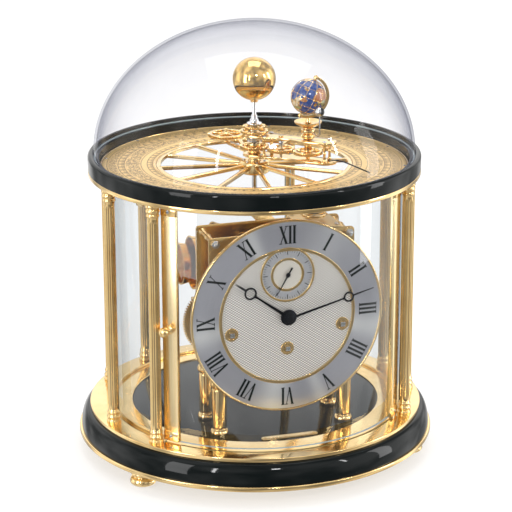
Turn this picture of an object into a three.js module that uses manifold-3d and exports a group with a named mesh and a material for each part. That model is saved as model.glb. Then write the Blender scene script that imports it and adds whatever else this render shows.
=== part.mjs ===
// A round brass and black lacquer table clock with a curved glass case, a three-train key-wound
// movement and, under a glass dome, a tellurium that carries the earth and moon round the sun.
// Millimetres, +Z up, the dial faces -Y and the vertical axis of the case is x = y = 0.
// Angles round the case are in degrees from the dial's side (-Y), turning toward +X.

import * as THREE from 'three';
import { mergeVertices } from 'three/addons/utils/BufferGeometryUtils.js';
import Module from 'manifold-3d';

const wasm = await Module();
wasm.setup();

// ---------------------------------------------------------------- driving dimensions

const FOOT = { radius: 10, height: 12.3, circle: 120.5, angles: [60, -60, 180] };
const TRIM = { radius: 134.8, bottom: FOOT.height, top: 16.5 };
const CUSHION = { bottomRadius: 133.2, topRadius: 126.4, top: 32 };
const PLATE = { radius: 126.4, inner: 94, top: 35.2 };
const FLOOR_TOP = 34.4;

const COLUMN = { circle: 117.9, shaft: 4.1, foot: 5.5 };
COLUMN.right = [54.5, 80, 103, 149];
COLUMN.left = [-54.5, -80, -124, -149];
const GLASS = { inner: 109.7, outer: 112.2, bottom: 35.6, top: 214.1 };
const DOOR = { stileInner: 109.9 };
DOOR.hinge = { angle: 49, width: 10.5, outer: 113.9 };
DOOR.knob = { angle: -49.55, width: 12.6, outer: 113.2 };
DOOR.bottom = PLATE.top + 1.4;
DOOR.top = 213.2;
DOOR.knobHeight = 122;

const DECK = { bottom: 214.5, top: 217.5, inner: 101, radius: 123.6 };
const RING = { inner: 115.2, outer: 123.6, top: 229.3, rebate: 119.7, rebateBottom: 226 };
const CALENDAR = { inner: 73, outer: 114.8, top: 220 };
const SPOKES = { count: 12, offset: 22, width: 2.8, hub: 12, rim: 69.6, bottom: 217.2, top: 220 };
const DOME = { radius: 119.2, wall: 1.8, top: 326 };

const DIAL = { radius: 72.5, centre: 125.5, back: -78.2, face: -79.8, front: -81.4 };
const CHAPTER = { inner: 51.5, outer: 70.8 };
const SECONDS = { centre: DIAL.centre + 31.5, radius: 20.4 };

const MOVEMENT = { halfWidth: 55, bottom: 79, top: 185, sheet: 2 };
MOVEMENT.front = -67;
MOVEMENT.back = -33;
const ARBORS = [
  { name: 'chime', x: -42, z: DIAL.centre - 10, wheelY: -45, wheel: 27 },
  { name: 'strike', x: 42, z: DIAL.centre - 10, wheelY: -51, wheel: 25 },
  { name: 'time', x: 0, z: DIAL.centre - 24.5, wheelY: -57, wheel: 25 },
];
const ARBOR_SQUARE = 3.4;

const ARM = { lower: 225.4, upper: 240.2, sheet: 1.8, width: 17, end: 65, angle: 49, tail: 192 };
const EARTH = { orbit: 43, height: 274, radius: 13, tilt: 23.5 };
const MOON = { orbit: 20.6, height: 267, radius: 3.5, angle: 5 };
const SUN = { height: 283.5, radius: 16 };
const GEAR = { fixed: 22, idler: 21, module: 1, thickness: 2.4, height: 231 };

// ---------------------------------------------------------------- materials

const brass = new THREE.MeshStandardMaterial({ color: 0xc79a4a, roughness: 0.22, metalness: 1 });
const satinBrass = new THREE.MeshStandardMaterial({ color: 0xcaa565, roughness: 0.4, metalness: 1 });
const lacquer = new THREE.MeshStandardMaterial({ color: 0x101617, roughness: 0.08, metalness: 0 });
const silver = new THREE.MeshStandardMaterial({ color: 0xbfc0c4, roughness: 0.35, metalness: 1 });
const steel = new THREE.MeshStandardMaterial({ color: 0x9a9a9c, roughness: 0.25, metalness: 1 });
const blackSteel = new THREE.MeshStandardMaterial({ color: 0x15181c, roughness: 0.3, metalness: 0.6 });
const glass = new THREE.MeshStandardMaterial({
  color: 0xe8f0f2, roughness: 0.03, metalness: 0, transparent: true, opacity: 0.25,
});
const enamel = new THREE.MeshStandardMaterial({ color: 0x2a4a86, roughness: 0.25, metalness: 0 });

// ---------------------------------------------------------------- shape helpers

const group = new THREE.Group();

// Sides of the large round pieces.
const ROUND = 32;

function radians(degrees) {
  return degrees * Math.PI / 180;
}

function onCircle(radius, degrees) {
  return [radius * Math.sin(radians(degrees)), -radius * Math.cos(radians(degrees))];
}

function add(name, geometry, material, x = 0, y = 0, z = 0) {
  const mesh = new THREE.Mesh(geometry, material);
  mesh.name = name;
  mesh.position.set(x, y, z);
  group.add(mesh);
  return mesh;
}

// A body of revolution about +Z from [radius, z] points, going up the outside.
function turned(points, segments = 24) {
  const profile = points.map(([radius, z]) => new THREE.Vector2(radius, z));
  return new THREE.LatheGeometry(profile, segments).rotateX(Math.PI / 2);
}

// The same body lying along -Y, for what stands out of the dial or the movement.
function turnedForward(points, segments = 24) {
  return turned(points, segments).rotateX(Math.PI / 2);
}

function rod(radius, bottom, top, segments = 12) {
  return turned([[0, bottom], [radius, bottom], [radius, top], [0, top]], segments);
}

function ring(inner, outer, bottom, top, segments = ROUND) {
  const section = [[inner, bottom], [outer, bottom], [outer, top], [inner, top], [inner, bottom]];
  return turned(section, segments);
}

function slab(width, depth, bottom, top) {
  const geometry = new THREE.BoxGeometry(width, depth, top - bottom);
  return geometry.translate(0, 0, (bottom + top) / 2);
}

// A plate bent round the case between two angles.
function curvedPlate(inner, outer, from, to, bottom, top, steps) {
  const outline = [];
  for (let i = 0; i <= steps; i += 1) {
    outline.push(onCircle(outer, from + (to - from) * i / steps));
  }
  for (let i = steps; i >= 0; i -= 1) {
    outline.push(onCircle(inner, from + (to - from) * i / steps));
  }
  const shape = new THREE.Shape(outline.map(([x, y]) => new THREE.Vector2(x, y)));
  const geometry = new THREE.ExtrudeGeometry(shape, { depth: top - bottom, bevelEnabled: false });
  return geometry.translate(0, 0, bottom);
}

// A spur gear lying flat, with square-cut teeth and a bore.
function gear(teeth, radius, depth, bottom, top, bore = 0) {
  const outline = [];
  const pitch = 2 * Math.PI / teeth;
  for (let i = 0; i < teeth; i += 1) {
    for (const [share, r] of [[0, radius - depth], [0.3, radius], [0.6, radius], [0.8, radius - depth]]) {
      const angle = (i + share) * pitch;
      outline.push(new THREE.Vector2(r * Math.cos(angle), r * Math.sin(angle)));
    }
  }
  const shape = new THREE.Shape(outline);
  if (bore > 0) {
    shape.holes.push(circlePath(0, 0, bore));
  }
  const geometry = new THREE.ExtrudeGeometry(shape, {
    depth: top - bottom, bevelEnabled: false, curveSegments: 6,
  });
  return geometry.translate(0, 0, bottom);
}

function circlePath(x, y, radius) {
  const path = new THREE.Path();
  path.absarc(x, y, radius, 0, 2 * Math.PI, true);
  return path;
}

function toSolid(geometry) {
  const bare = geometry.clone();
  bare.deleteAttribute('normal');
  bare.deleteAttribute('uv');
  const merged = mergeVertices(bare, 1e-4);
  return new wasm.Manifold(new wasm.Mesh({
    numProp: 3,
    vertProperties: new Float32Array(merged.attributes.position.array),
    triVerts: new Uint32Array(merged.index.array),
  }));
}

function toGeometry(solid) {
  const mesh = solid.getMesh();
  const geometry = new THREE.BufferGeometry();
  geometry.setAttribute('position', new THREE.BufferAttribute(mesh.vertProperties, 3));
  geometry.setIndex(new THREE.BufferAttribute(mesh.triVerts, 1));
  return geometry;
}

function joined(...geometries) {
  return toGeometry(geometries.map(toSolid).reduce((whole, next) => whole.add(next)));
}

function cut(geometry, ...tools) {
  return toGeometry(tools.map(toSolid).reduce((whole, next) => whole.subtract(next), toSolid(geometry)));
}

// ---------------------------------------------------------------- base

function footProfile() {
  const { radius, height } = FOOT;
  return [[0, 0], [radius * 0.72, 0], [radius * 0.97, 1.8], [radius, 3.6], [radius * 0.9, 6],
    [radius * 0.72, 7], [radius * 0.86, 8.4], [radius * 0.86, 10.2], [radius * 0.66, height],
    [0, height]];
}

FOOT.angles.forEach((angle, i) => {
  add(['foot_right', 'foot_left', 'foot_back'][i], turned(footProfile(), 12), brass,
    ...onCircle(FOOT.circle, angle));
});

add('base_trim', turned([[0, TRIM.bottom], [TRIM.radius - 0.6, TRIM.bottom],
  [TRIM.radius, TRIM.bottom + 0.8], [TRIM.radius, TRIM.top - 0.8],
  [TRIM.radius - 0.6, TRIM.top], [0, TRIM.top]], ROUND), brass);

// The cushion's outside is a quarter ellipse that leaves the trim upright.
function cushionProfile() {
  const { bottomRadius, topRadius, top } = CUSHION;
  const profile = [[0, TRIM.top], [bottomRadius, TRIM.top]];
  for (const step of [20, 40, 60, 78]) {
    profile.push([topRadius + (bottomRadius - topRadius) * Math.cos(radians(step)),
      TRIM.top + (top - TRIM.top) * Math.sin(radians(step))]);
  }
  profile.push([topRadius - 0.8, top], [PLATE.inner - 0.2, top], [0, top]);
  return profile;
}

add('base_cushion', turned(cushionProfile(), ROUND), lacquer);
add('base_plate', ring(PLATE.inner, PLATE.radius, CUSHION.top, PLATE.top), brass);
add('floor_disc', rod(PLATE.inner - 0.3, CUSHION.top, FLOOR_TOP, ROUND), lacquer);

// A blank plate with round ends in front of the movement.
function namePlate() {
  const length = 43;
  const half = 3;
  const shape = new THREE.Shape();
  shape.absarc(length / 2 - half, 0, half, -Math.PI / 2, Math.PI / 2, false);
  shape.absarc(-length / 2 + half, 0, half, Math.PI / 2, 1.5 * Math.PI, false);
  return new THREE.ExtrudeGeometry(shape, { depth: 0.8, bevelEnabled: false, curveSegments: 8 });
}

add('name_plate', namePlate(), satinBrass, 0, -86, FLOOR_TOP);

// ---------------------------------------------------------------- columns and glass

function columnProfile() {
  const { shaft, foot } = COLUMN;
  const end = [[foot, 0], [foot, 2.6], [foot - 1.1, 3.8], [foot - 0.4, 6.2], [shaft, 7.6], [shaft, 11]];
  const low = end.map(([r, h]) => [r, PLATE.top + h]);
  const high = end.map(([r, h]) => [r, DECK.bottom - h]).reverse();
  return [[0, PLATE.top], ...low, ...high, [0, DECK.bottom]];
}

for (const side of ['right', 'left']) {
  COLUMN[side].forEach((angle, i) => {
    const place = onCircle(COLUMN.circle, angle);
    add(`column_${side}_${i + 1}`, turned(columnProfile(), 8), brass, ...place);
  });
}

const PANELS = [['glass_right', 53, 148], ['glass_back', 150, 210], ['glass_left', 212, 307]];
for (const [name, from, to] of PANELS) {
  const steps = Math.round((to - from) / 5);
  add(name, curvedPlate(GLASS.inner, GLASS.outer, from, to, GLASS.bottom, GLASS.top, steps), glass);
}

// ---------------------------------------------------------------- door

const stileHalfAngle = DOOR.hinge.width / 2 / GLASS.outer * 180 / Math.PI;
const doorGlassEdge = DOOR.hinge.angle - stileHalfAngle - 0.15;
add('door_glass', curvedPlate(GLASS.inner, GLASS.outer, -doorGlassEdge, doorGlassEdge,
  DOOR.bottom, DOOR.top, 20), glass);

// A stile is a flat strip; the one at the hinge turns on a pivot at each end.
function stile({ angle, width, outer }, pivots) {
  const pieces = [slab(width, outer - DOOR.stileInner, DOOR.bottom, DOOR.top)];
  if (pivots) {
    pieces.push(rod(1.6, PLATE.top + 0.3, DECK.bottom - 0.3, 12));
  }
  const geometry = pivots ? joined(...pieces) : pieces[0];
  const [x, y] = onCircle((DOOR.stileInner + outer) / 2, angle);
  return geometry.rotateZ(radians(angle)).translate(x, y, 0);
}

add('door_hinge_stile', stile(DOOR.hinge, true), brass);
add('door_knob_stile', stile(DOOR.knob, false), brass);

function knobProfile() {
  return [[0, 0], [2.6, 0], [2.6, 1.2], [1.6, 2.2], [1.6, 4.4], [3.4, 6], [4, 7.8], [3.4, 9.6], [0, 10.6]];
}

const knob = add('door_knob', turnedForward(knobProfile(), 16), brass);
knob.rotation.z = radians(DOOR.knob.angle);
knob.position.set(...onCircle(DOOR.knob.outer + 0.2, DOOR.knob.angle), DOOR.knobHeight);

// ---------------------------------------------------------------- deck, ring, dome

add('top_plate', ring(DECK.inner, DECK.radius, DECK.bottom, DECK.top), brass);

add('black_ring', turned([[RING.inner, DECK.top], [RING.outer, DECK.top], [RING.outer, 225.6],
  [RING.outer - 0.7, 227.8], [RING.outer - 2.2, RING.top], [RING.rebate, RING.top],
  [RING.rebate, RING.rebateBottom], [RING.inner, RING.rebateBottom], [RING.inner, DECK.top]], ROUND), lacquer);

add('calendar_plate', ring(CALENDAR.inner, CALENDAR.outer, DECK.top, CALENDAR.top), satinBrass);

// The spoke wheel is one casting: hub, twelve bars and a thin rim inside the calendar plate.
function spokeWheel() {
  const { count, offset, width, hub, rim, bottom, top } = SPOKES;
  const pieces = [
    ring(4.9, hub, bottom - 5, top + 1.6, 20),
    ring(rim, CALENDAR.inner - 0.3, bottom, top),
  ];
  for (let i = 0; i < count; i += 1) {
    const angle = offset + i * 360 / count;
    const length = rim - hub + 2;
    const bar = slab(length, width, bottom, top).translate(hub + length / 2 - 1, 0, 0);
    pieces.push(bar.rotateZ(radians(angle - 90)));
  }
  return joined(...pieces);
}

add('spoke_wheel', spokeWheel(), brass);

// The dome is half an ellipsoid on a short upright foot that drops into the ring's rebate.
function domeProfile() {
  const { radius, wall, top } = DOME;
  const rise = top - RING.top;
  const outside = [[radius, RING.rebateBottom], [radius, RING.top]];
  const inside = [];
  for (let i = 1; i < 7; i += 1) {
    const angle = Math.PI / 2 * i / 7;
    outside.push([radius * Math.cos(angle), RING.top + rise * Math.sin(angle)]);
    inside.unshift([(radius - wall) * Math.cos(angle), RING.top + (rise - wall) * Math.sin(angle)]);
  }
  return [...outside, [0, top], [0, top - wall], ...inside, [radius - wall, RING.top],
    [radius - wall, RING.rebateBottom], [radius, RING.rebateBottom]];
}

add('dome', turned(domeProfile(), ROUND), glass);

// ---------------------------------------------------------------- tellurium

// The fixed wheel stands on the hub, and the drive shaft turns inside it.
add('sun_gear', joined(
  gear(GEAR.fixed, GEAR.fixed * GEAR.module / 2 - 0.15, 1.4, GEAR.height, GEAR.height + GEAR.thickness, 2.4),
  ring(2.3, 4.6, SPOKES.bottom - 5, GEAR.height + 4.4, 20),
), brass);

const shaftTop = ARM.upper + ARM.sheet;
add('drive_shaft', turned([[0, 186.4], [2, 186.4], [2, 238], [6, 238], [6, ARM.upper], [0, ARM.upper]], 20),
  steel);

// An arm plate is a long plate with round ends from the hub to the earth's side and a short tail.
function armPlate(bottom, hubHole) {
  const [tailX, tailY] = onCircle(43.9, ARM.tail - ARM.angle + 90);
  const main = new THREE.Shape();
  main.absarc(ARM.end - ARM.width / 2, 0, ARM.width / 2, -Math.PI / 2, Math.PI / 2, false);
  main.absarc(0, 0, ARM.width / 2, Math.PI / 2, 1.5 * Math.PI, false);
  if (hubHole > 0) {
    main.holes.push(circlePath(0, 0, hubHole));
  }
  const settings = { depth: ARM.sheet, bevelEnabled: false, curveSegments: 10 };
  const plate = new THREE.ExtrudeGeometry(main, settings).translate(0, 0, bottom);
  if (hubHole === 0) {
    return plate;
  }
  const length = Math.hypot(tailX, tailY);
  const bar = slab(length - 5, 5, bottom, bottom + ARM.sheet).translate(length / 2 + 2.5, 0, 0);
  return joined(plate, bar.rotateZ(Math.atan2(tailY, tailX)));
}

function turnedToArm(geometry) {
  return geometry.rotateZ(radians(ARM.angle - 90));
}

// The four pillars carry the upper arm plate, so they are one piece with the lower one.
function armWithPillars() {
  const pillars = [[10.9, 6.8], [10.9, -6.8], [58, 5], [58, -5]].map(([x, y]) =>
    rod(1.2, ARM.lower + 0.5, ARM.upper - 0.3, 8).translate(x, y, 0));
  return turnedToArm(joined(armPlate(ARM.lower, 5.2), ...pillars));
}

add('arm_lower', armWithPillars(), brass);
const upperPlate = cut(armPlate(ARM.upper + 0.05, 0), rod(3.4, ARM.upper - 1, shaftTop + 1, 16)
  .translate(EARTH.orbit, 0, 0));
add('arm_upper', turnedToArm(upperPlate), brass);

const tailPoint = onCircle(43.9, ARM.tail);
add('counter_wheel', joined(
  gear(24, 14, 1.6, 230.5, 233, 2),
  rod(2.4, ARM.lower + ARM.sheet + 0.05, 237, 12),
), brass, ...tailPoint);

const earthPlace = onCircle(EARTH.orbit, ARM.angle);
const idlerPlace = onCircle(EARTH.orbit / 2, ARM.angle);
const pivotBottom = ARM.lower + ARM.sheet + 0.2;
add('idler_gear', joined(
  gear(GEAR.idler, GEAR.idler * GEAR.module / 2 - 0.15, 1.4, GEAR.height, GEAR.height + GEAR.thickness, 1.5),
  rod(1.8, pivotBottom, ARM.upper - 0.3, 12),
), brass, ...idlerPlace);

// The earth's pillar: a gear between the arm plates, a turned post and a dish under the globe.
function earthPost() {
  const post = turned([[0, pivotBottom], [2.8, pivotBottom], [2.8, 243.2], [5, 243.2], [5, 246],
    [3.2, 247], [3.2, 249.9], [5.2, 251.1], [10.4, 254.8], [10.4, 255.8], [4, 254.4], [2.4, 255.6],
    [2.4, 257.2], [0, 257.2]], 14);
  return joined(gear(GEAR.fixed, GEAR.fixed * GEAR.module / 2 - 0.15, 1.4, GEAR.height,
    GEAR.height + GEAR.thickness), post);
}

add('earth_post', earthPost(), brass, ...earthPlace);

// A half ring outside the globe holds both ends of its tilted axis.
const meridianRadius = EARTH.radius + 2;
function meridian() {
  const tilt = radians(EARTH.tilt);
  const outline = [];
  const steps = 16;
  for (let i = 0; i <= steps; i += 1) {
    const angle = -Math.PI / 2 - tilt + Math.PI * i / steps;
    outline.push([angle, meridianRadius + 1.1]);
  }
  for (let i = steps; i >= 0; i -= 1) {
    const angle = -Math.PI / 2 - tilt + Math.PI * i / steps;
    outline.push([angle, meridianRadius - 1.1]);
  }
  const shape = new THREE.Shape(outline.map(([angle, r]) =>
    new THREE.Vector2(r * Math.cos(angle), r * Math.sin(angle))));
  const half = 1.2;
  const bow = new THREE.ExtrudeGeometry(shape, { depth: 2 * half, bevelEnabled: false })
    .translate(0, 0, -half).rotateX(Math.PI / 2);
  const lowerPin = rod(0.8, -meridianRadius, -EARTH.radius - 0.3, 8).rotateY(tilt);
  const upperPin = rod(0.8, EARTH.radius + 0.3, meridianRadius, 8).rotateY(tilt);
  const stem = rod(1.6, 257.4 - EARTH.height, -meridianRadius + 0.6, 10);
  return joined(bow, lowerPin, upperPin, stem);
}

add('meridian_ring', meridian(), brass, ...earthPlace, EARTH.height);

const globe = add('globe', new THREE.SphereGeometry(EARTH.radius, 16, 10).rotateX(Math.PI / 2), enamel,
  ...earthPlace, EARTH.height);
globe.rotation.y = radians(EARTH.tilt);

// The moon's arm is a loose collar on the earth's post with a bent wire out to the moon.
function moonArm() {
  const reach = MOON.orbit;
  const wire = joined(
    slab(reach - 4.5, 1.6, 247.7, 249.1).translate(reach / 2 + 2.25, 0, 0),
    rod(0.8, 247.8, MOON.height - MOON.radius - 0.2, 8).translate(reach, 0, 0),
  );
  const collar = ring(3.6, 5.4, 247.4, 249.6, 16);
  return joined(collar, wire);
}

const moonTurn = radians(MOON.angle - 90);
add('moon_arm', moonArm().rotateZ(moonTurn), steel, ...earthPlace);
const moonOffset = onCircle(MOON.orbit, MOON.angle);
add('moon_ball', new THREE.SphereGeometry(MOON.radius, 10, 8), silver,
  earthPlace[0] + moonOffset[0], earthPlace[1] + moonOffset[1], MOON.height);

add('sun_post', joined(
  turned([[0, shaftTop + 0.1], [6.4, shaftTop + 0.1], [6.4, 245.4], [4, 246.4], [4, 249], [5.4, 250],
    [5.4, 251.6], [2.4, 253.2], [2.4, 256], [0, 256]], 20),
  rod(1.5, 250, SUN.height - SUN.radius - 0.2, 12),
), steel);
add('sun_ball', new THREE.SphereGeometry(SUN.radius, 16, 10).rotateX(Math.PI / 2), brass, 0, 0, SUN.height);

// The pointer is a wire that leaves the arm's end and dips to the calendar scale.
function pointer() {
  const path = new THREE.CatmullRomCurve3([
    new THREE.Vector3(59, 0, 228), new THREE.Vector3(70, 0, 228.2), new THREE.Vector3(79, 0, 225.8),
    new THREE.Vector3(92, 0, 221.6),
  ]);
  const section = new THREE.Shape();
  section.absarc(0, 0, 0.7, 0, 2 * Math.PI, false);
  return new THREE.ExtrudeGeometry(section, { extrudePath: path, steps: 14, curveSegments: 4 });
}

add('calendar_pointer', turnedToArm(pointer()), blackSteel);

// ---------------------------------------------------------------- movement

// Plates stand upright; the back one carries the four corner pillars and the drive bracket.
function uprightPlate(y) {
  const height = MOVEMENT.top - MOVEMENT.bottom;
  const plate = new THREE.BoxGeometry(2 * MOVEMENT.halfWidth, MOVEMENT.sheet, height);
  return plate.translate(0, y, (MOVEMENT.top + MOVEMENT.bottom) / 2);
}

function alongY(radius, from, to, x, z, segments = 12) {
  return rod(radius, from, to, segments).rotateX(-Math.PI / 2).translate(x, 0, z);
}

const halfSheet = MOVEMENT.sheet / 2;
const arborHoles = ARBORS.map(({ x, z }) => alongY(4.6, MOVEMENT.front - 5, MOVEMENT.front + 5, x, z));
const handHoles = [[0, DIAL.centre, 3.4], [0, SECONDS.centre, 1.6]].map(([x, z, radius]) =>
  alongY(radius, MOVEMENT.front - 5, MOVEMENT.front + 5, x, z));
add('movement_front_plate', cut(uprightPlate(MOVEMENT.front), ...arborHoles, ...handHoles), satinBrass);

const HAMMER = { x: -24, y: 37, pivot: 110, head: 148 };

function backPlate() {
  const pieces = [uprightPlate(MOVEMENT.back)];
  for (const [x, z] of [[50.5, 83], [-50.5, 83], [50.5, 181], [-50.5, 181]]) {
    pieces.push(alongY(3, MOVEMENT.front + halfSheet + 0.1, MOVEMENT.back, x, z));
  }
  const bracketStart = MOVEMENT.back + halfSheet - 0.5;
  pieces.push(slab(12, 5 - bracketStart, 181.5, 185).translate(0, (5 + bracketStart) / 2, 0));
  pieces.push(rod(4, 182, 186.2, 16));
  const shelf = HAMMER.pivot - 8;
  const reach = HAMMER.y + 4 - bracketStart;
  pieces.push(slab(30, reach, shelf, shelf + 3.6).translate(HAMMER.x, bracketStart + reach / 2, 0));
  return joined(...pieces);
}

add('movement_back_plate', backPlate(), satinBrass);

function legProfile() {
  const top = MOVEMENT.bottom;
  return [[0, FLOOR_TOP], [6.8, FLOOR_TOP], [6.8, FLOOR_TOP + 3.2], [5.4, FLOOR_TOP + 5],
    [5.4, top - 6], [6.6, top - 4.4], [6.6, top], [0, top]];
}

for (const [name, x, y] of [['leg_front_left', -1, MOVEMENT.front], ['leg_front_right', 1, MOVEMENT.front],
  ['leg_back_left', -1, MOVEMENT.back], ['leg_back_right', 1, MOVEMENT.back]]) {
  add(name, turned(legProfile(), 12), brass, x * 48, y, 0);
}

// A spring barrel with its great wheel on one arbor, whose square front end takes the winding key.
function barrel({ wheelY, wheel }) {
  const drumBack = MOVEMENT.back - halfSheet - 1.2;
  const drumFront = MOVEMENT.front + halfSheet + 3;
  const wheelFlat = gear(30, wheel, 2, -1, 1);
  const square = new THREE.BoxGeometry(ARBOR_SQUARE, 20, ARBOR_SQUARE);
  return joined(
    wheelFlat.rotateX(Math.PI / 2).translate(0, wheelY, 0),
    alongY(15.6, drumFront + 4, drumBack - 3, 0, 0, 20),
    alongY(3.2, MOVEMENT.front - 6, drumBack, 0, 0, 12),
    square.translate(0, MOVEMENT.front - 5.4, 0),
  );
}

for (const arbor of ARBORS) {
  add(`${arbor.name}_barrel`, barrel(arbor), brass, arbor.x, 0, arbor.z);
}

// The balance turns level on a platform above the plates.
const BALANCE = { x: 30, y: -50, bottom: MOVEMENT.top + 0.1 };
add('escapement_platform', joined(
  slab(30, 38, BALANCE.bottom, BALANCE.bottom + 2),
  rod(2.2, BALANCE.bottom + 1, BALANCE.bottom + 4.2, 12),
), satinBrass, BALANCE.x, BALANCE.y);
add('balance_wheel', joined(
  ring(7.6, 9.4, BALANCE.bottom + 5.4, BALANCE.bottom + 7, 24),
  slab(15.8, 1.6, BALANCE.bottom + 5.4, BALANCE.bottom + 6.8),
  rod(1.2, BALANCE.bottom + 4.5, BALANCE.bottom + 9, 10),
), brass, BALANCE.x, BALANCE.y);

// Four nested bells open toward -X on a rod that a bracket holds off the back plate.
const BELLS = { x: 0, y: 2, z: 146, count: 4, radius: 29, depth: 26, wall: 1.4, pitch: 9.5, shrink: 4.4 };

function bellsProfile() {
  const profile = [[0, 0], [2, 0]];
  for (let i = 0; i < BELLS.count; i += 1) {
    const apex = 4 + i * BELLS.pitch;
    const radius = BELLS.radius - i * BELLS.shrink;
    const { depth, wall } = BELLS;
    profile.push([2, apex], [radius * 0.6, apex + 1.2], [radius * 0.92, apex + depth * 0.4],
      [radius, apex + depth], [radius - wall, apex + depth],
      [radius * 0.92 - wall, apex + depth * 0.4 + wall], [radius * 0.6 - 0.5, apex + 1.2 + wall],
      [2, apex + wall]);
  }
  const rodEnd = 4 + (BELLS.count - 1) * BELLS.pitch + 10;
  profile.push([2, rodEnd], [0, rodEnd]);
  return profile;
}

add('bell_stack', joined(
  turned(bellsProfile(), 16).rotateY(-Math.PI / 2),
  alongY(2.6, MOVEMENT.back + halfSheet + 0.05 - BELLS.y, 2.6, 0, 0),
), satinBrass, BELLS.x, BELLS.y, BELLS.z);

// The hammer stands on the back plate's shelf, behind the bells, and taps the widest rim.
add('chime_hammer', joined(
  slab(2.4, 2.4, 0, HAMMER.head - HAMMER.pivot - 2),
  slab(5, 9, HAMMER.head - HAMMER.pivot - 5, HAMMER.head - HAMMER.pivot),
  rod(3.2, -5, 5, 16).rotateY(Math.PI / 2),
), brass, HAMMER.x, HAMMER.y, HAMMER.pivot);

// ---------------------------------------------------------------- dial and hands

// The dial is a brass disc with a raised rim, four feet to the movement, and holes for the arbors.
function dialPlate() {
  const { radius, back, face, front } = DIAL;
  const disc = turnedForward([[0, -back], [radius, -back], [radius, -front], [radius - 1.6, -front],
    [radius - 1.6, -face], [CHAPTER.inner - 0.3, -face], [CHAPTER.inner - 0.3, -face + 0.9],
    [CHAPTER.inner - 2.4, -face + 0.9], [CHAPTER.inner - 2.4, -face], [0, -face]], ROUND)
    .translate(0, 0, DIAL.centre);
  const feet = [[32, 38], [-32, 38], [32, -38], [-32, -38]].map(([x, z]) =>
    alongY(2, back - 0.4, MOVEMENT.front - halfSheet - 0.1, x, DIAL.centre + z));
  const holes = ARBORS.map(({ x, z }) => alongY(4, front - 2, back + 3, x, z, 16));
  const spindles = [[0, DIAL.centre, 3.4], [0, SECONDS.centre, 1.6]].map(([x, z, r]) =>
    alongY(r, front - 2, back + 3, x, z));
  return cut(joined(disc, ...feet), ...holes, ...spindles);
}

add('dial_plate', dialPlate(), satinBrass);

const chapter = turnedForward([[CHAPTER.inner, -DIAL.face + 0.05], [CHAPTER.outer, -DIAL.face + 0.05],
  [CHAPTER.outer, -DIAL.face + 0.75], [CHAPTER.inner, -DIAL.face + 0.75],
  [CHAPTER.inner, -DIAL.face + 0.05]], ROUND);
add('chapter_ring', chapter, silver, 0, 0, DIAL.centre);

// A flat blade along +Y whose half width changes from one end to the other.
function blade(from, to, startHalf, endHalf, sheet) {
  const corners = [[-startHalf, from], [startHalf, from], [endHalf, to], [-endHalf, to]];
  const shape = new THREE.Shape(corners.map(([x, y]) => new THREE.Vector2(x, y)));
  return new THREE.ExtrudeGeometry(shape, { depth: sheet, bevelEnabled: false });
}

// A hand points up before it is turned: a tapered blade broken by an open ring.
function hand({ length, ringAt, ringRadius, boss, bore, width, sheet }) {
  return joined(
    ring(bore, boss, 0, sheet, 16),
    ring(ringRadius - 1.4, ringRadius, 0, sheet, 16).translate(0, ringAt, 0),
    blade(boss - 1, ringAt - ringRadius + 0.6, width, width * 0.7, sheet),
    blade(ringAt + ringRadius - 0.6, length, width * 0.8, 0.2, sheet),
  );
}

// Clock time of the hands at rest, and the pipe that turns each one.
const TIME = { minute: 75, hour: 306, second: 210 };
const HANDS = {
  minute: { length: 66.4, ringAt: 46.5, ringRadius: 4, boss: 4.6, bore: 1.2, width: 1.3, sheet: 0.9 },
  hour: { length: 49.5, ringAt: 35.5, ringRadius: 4.7, boss: 6, bore: 1.7, width: 1.7, sheet: 0.9 },
};

// Turns a flat piece drawn in x and y to face -Y, and clockwise by an angle on the dial.
function onDial(geometry, clockwise, y, z) {
  return geometry.rotateX(Math.PI / 2).rotateY(radians(clockwise)).translate(0, y, z);
}

const hourPipe = ring(1.7, 2.4, -15.5, 0.9, 16);
add('hour_hand', onDial(joined(hand(HANDS.hour), hourPipe), TIME.hour,
  DIAL.face - 3.2, DIAL.centre), blackSteel);
const minuteArbor = turned([[0, -21], [1.4, -21], [1.4, 0.4], [2.8, 0.4], [2.8, 2.2], [0, 2.2]], 16);
add('minute_hand', onDial(joined(hand(HANDS.minute), minuteArbor), TIME.minute,
  DIAL.face - 5.4, DIAL.centre), blackSteel);

add('seconds_hand', onDial(joined(blade(-6, 17, 0.6, 0.4, 0.6), rod(1.8, -0.1, 0.9, 16), rod(0.8, -16, 0.5, 10)),
  TIME.second, DIAL.face - 1.7, SECONDS.centre), blackSteel);

export default group;
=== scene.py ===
"""A round brass and black lacquer table clock with a tellurium under its glass dome.

Lengths are in millimetres, and MM turns them into the frame's metres where a mesh is made. +Z is up,
the dial faces -Y and the case's axis is x = y = 0. Angles round the case are in degrees from the
dial's side, turning toward +X.
"""

from math import asin, cos, degrees, pi, radians, sin

import bmesh
import bpy
from mathutils import Matrix, Vector


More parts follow.
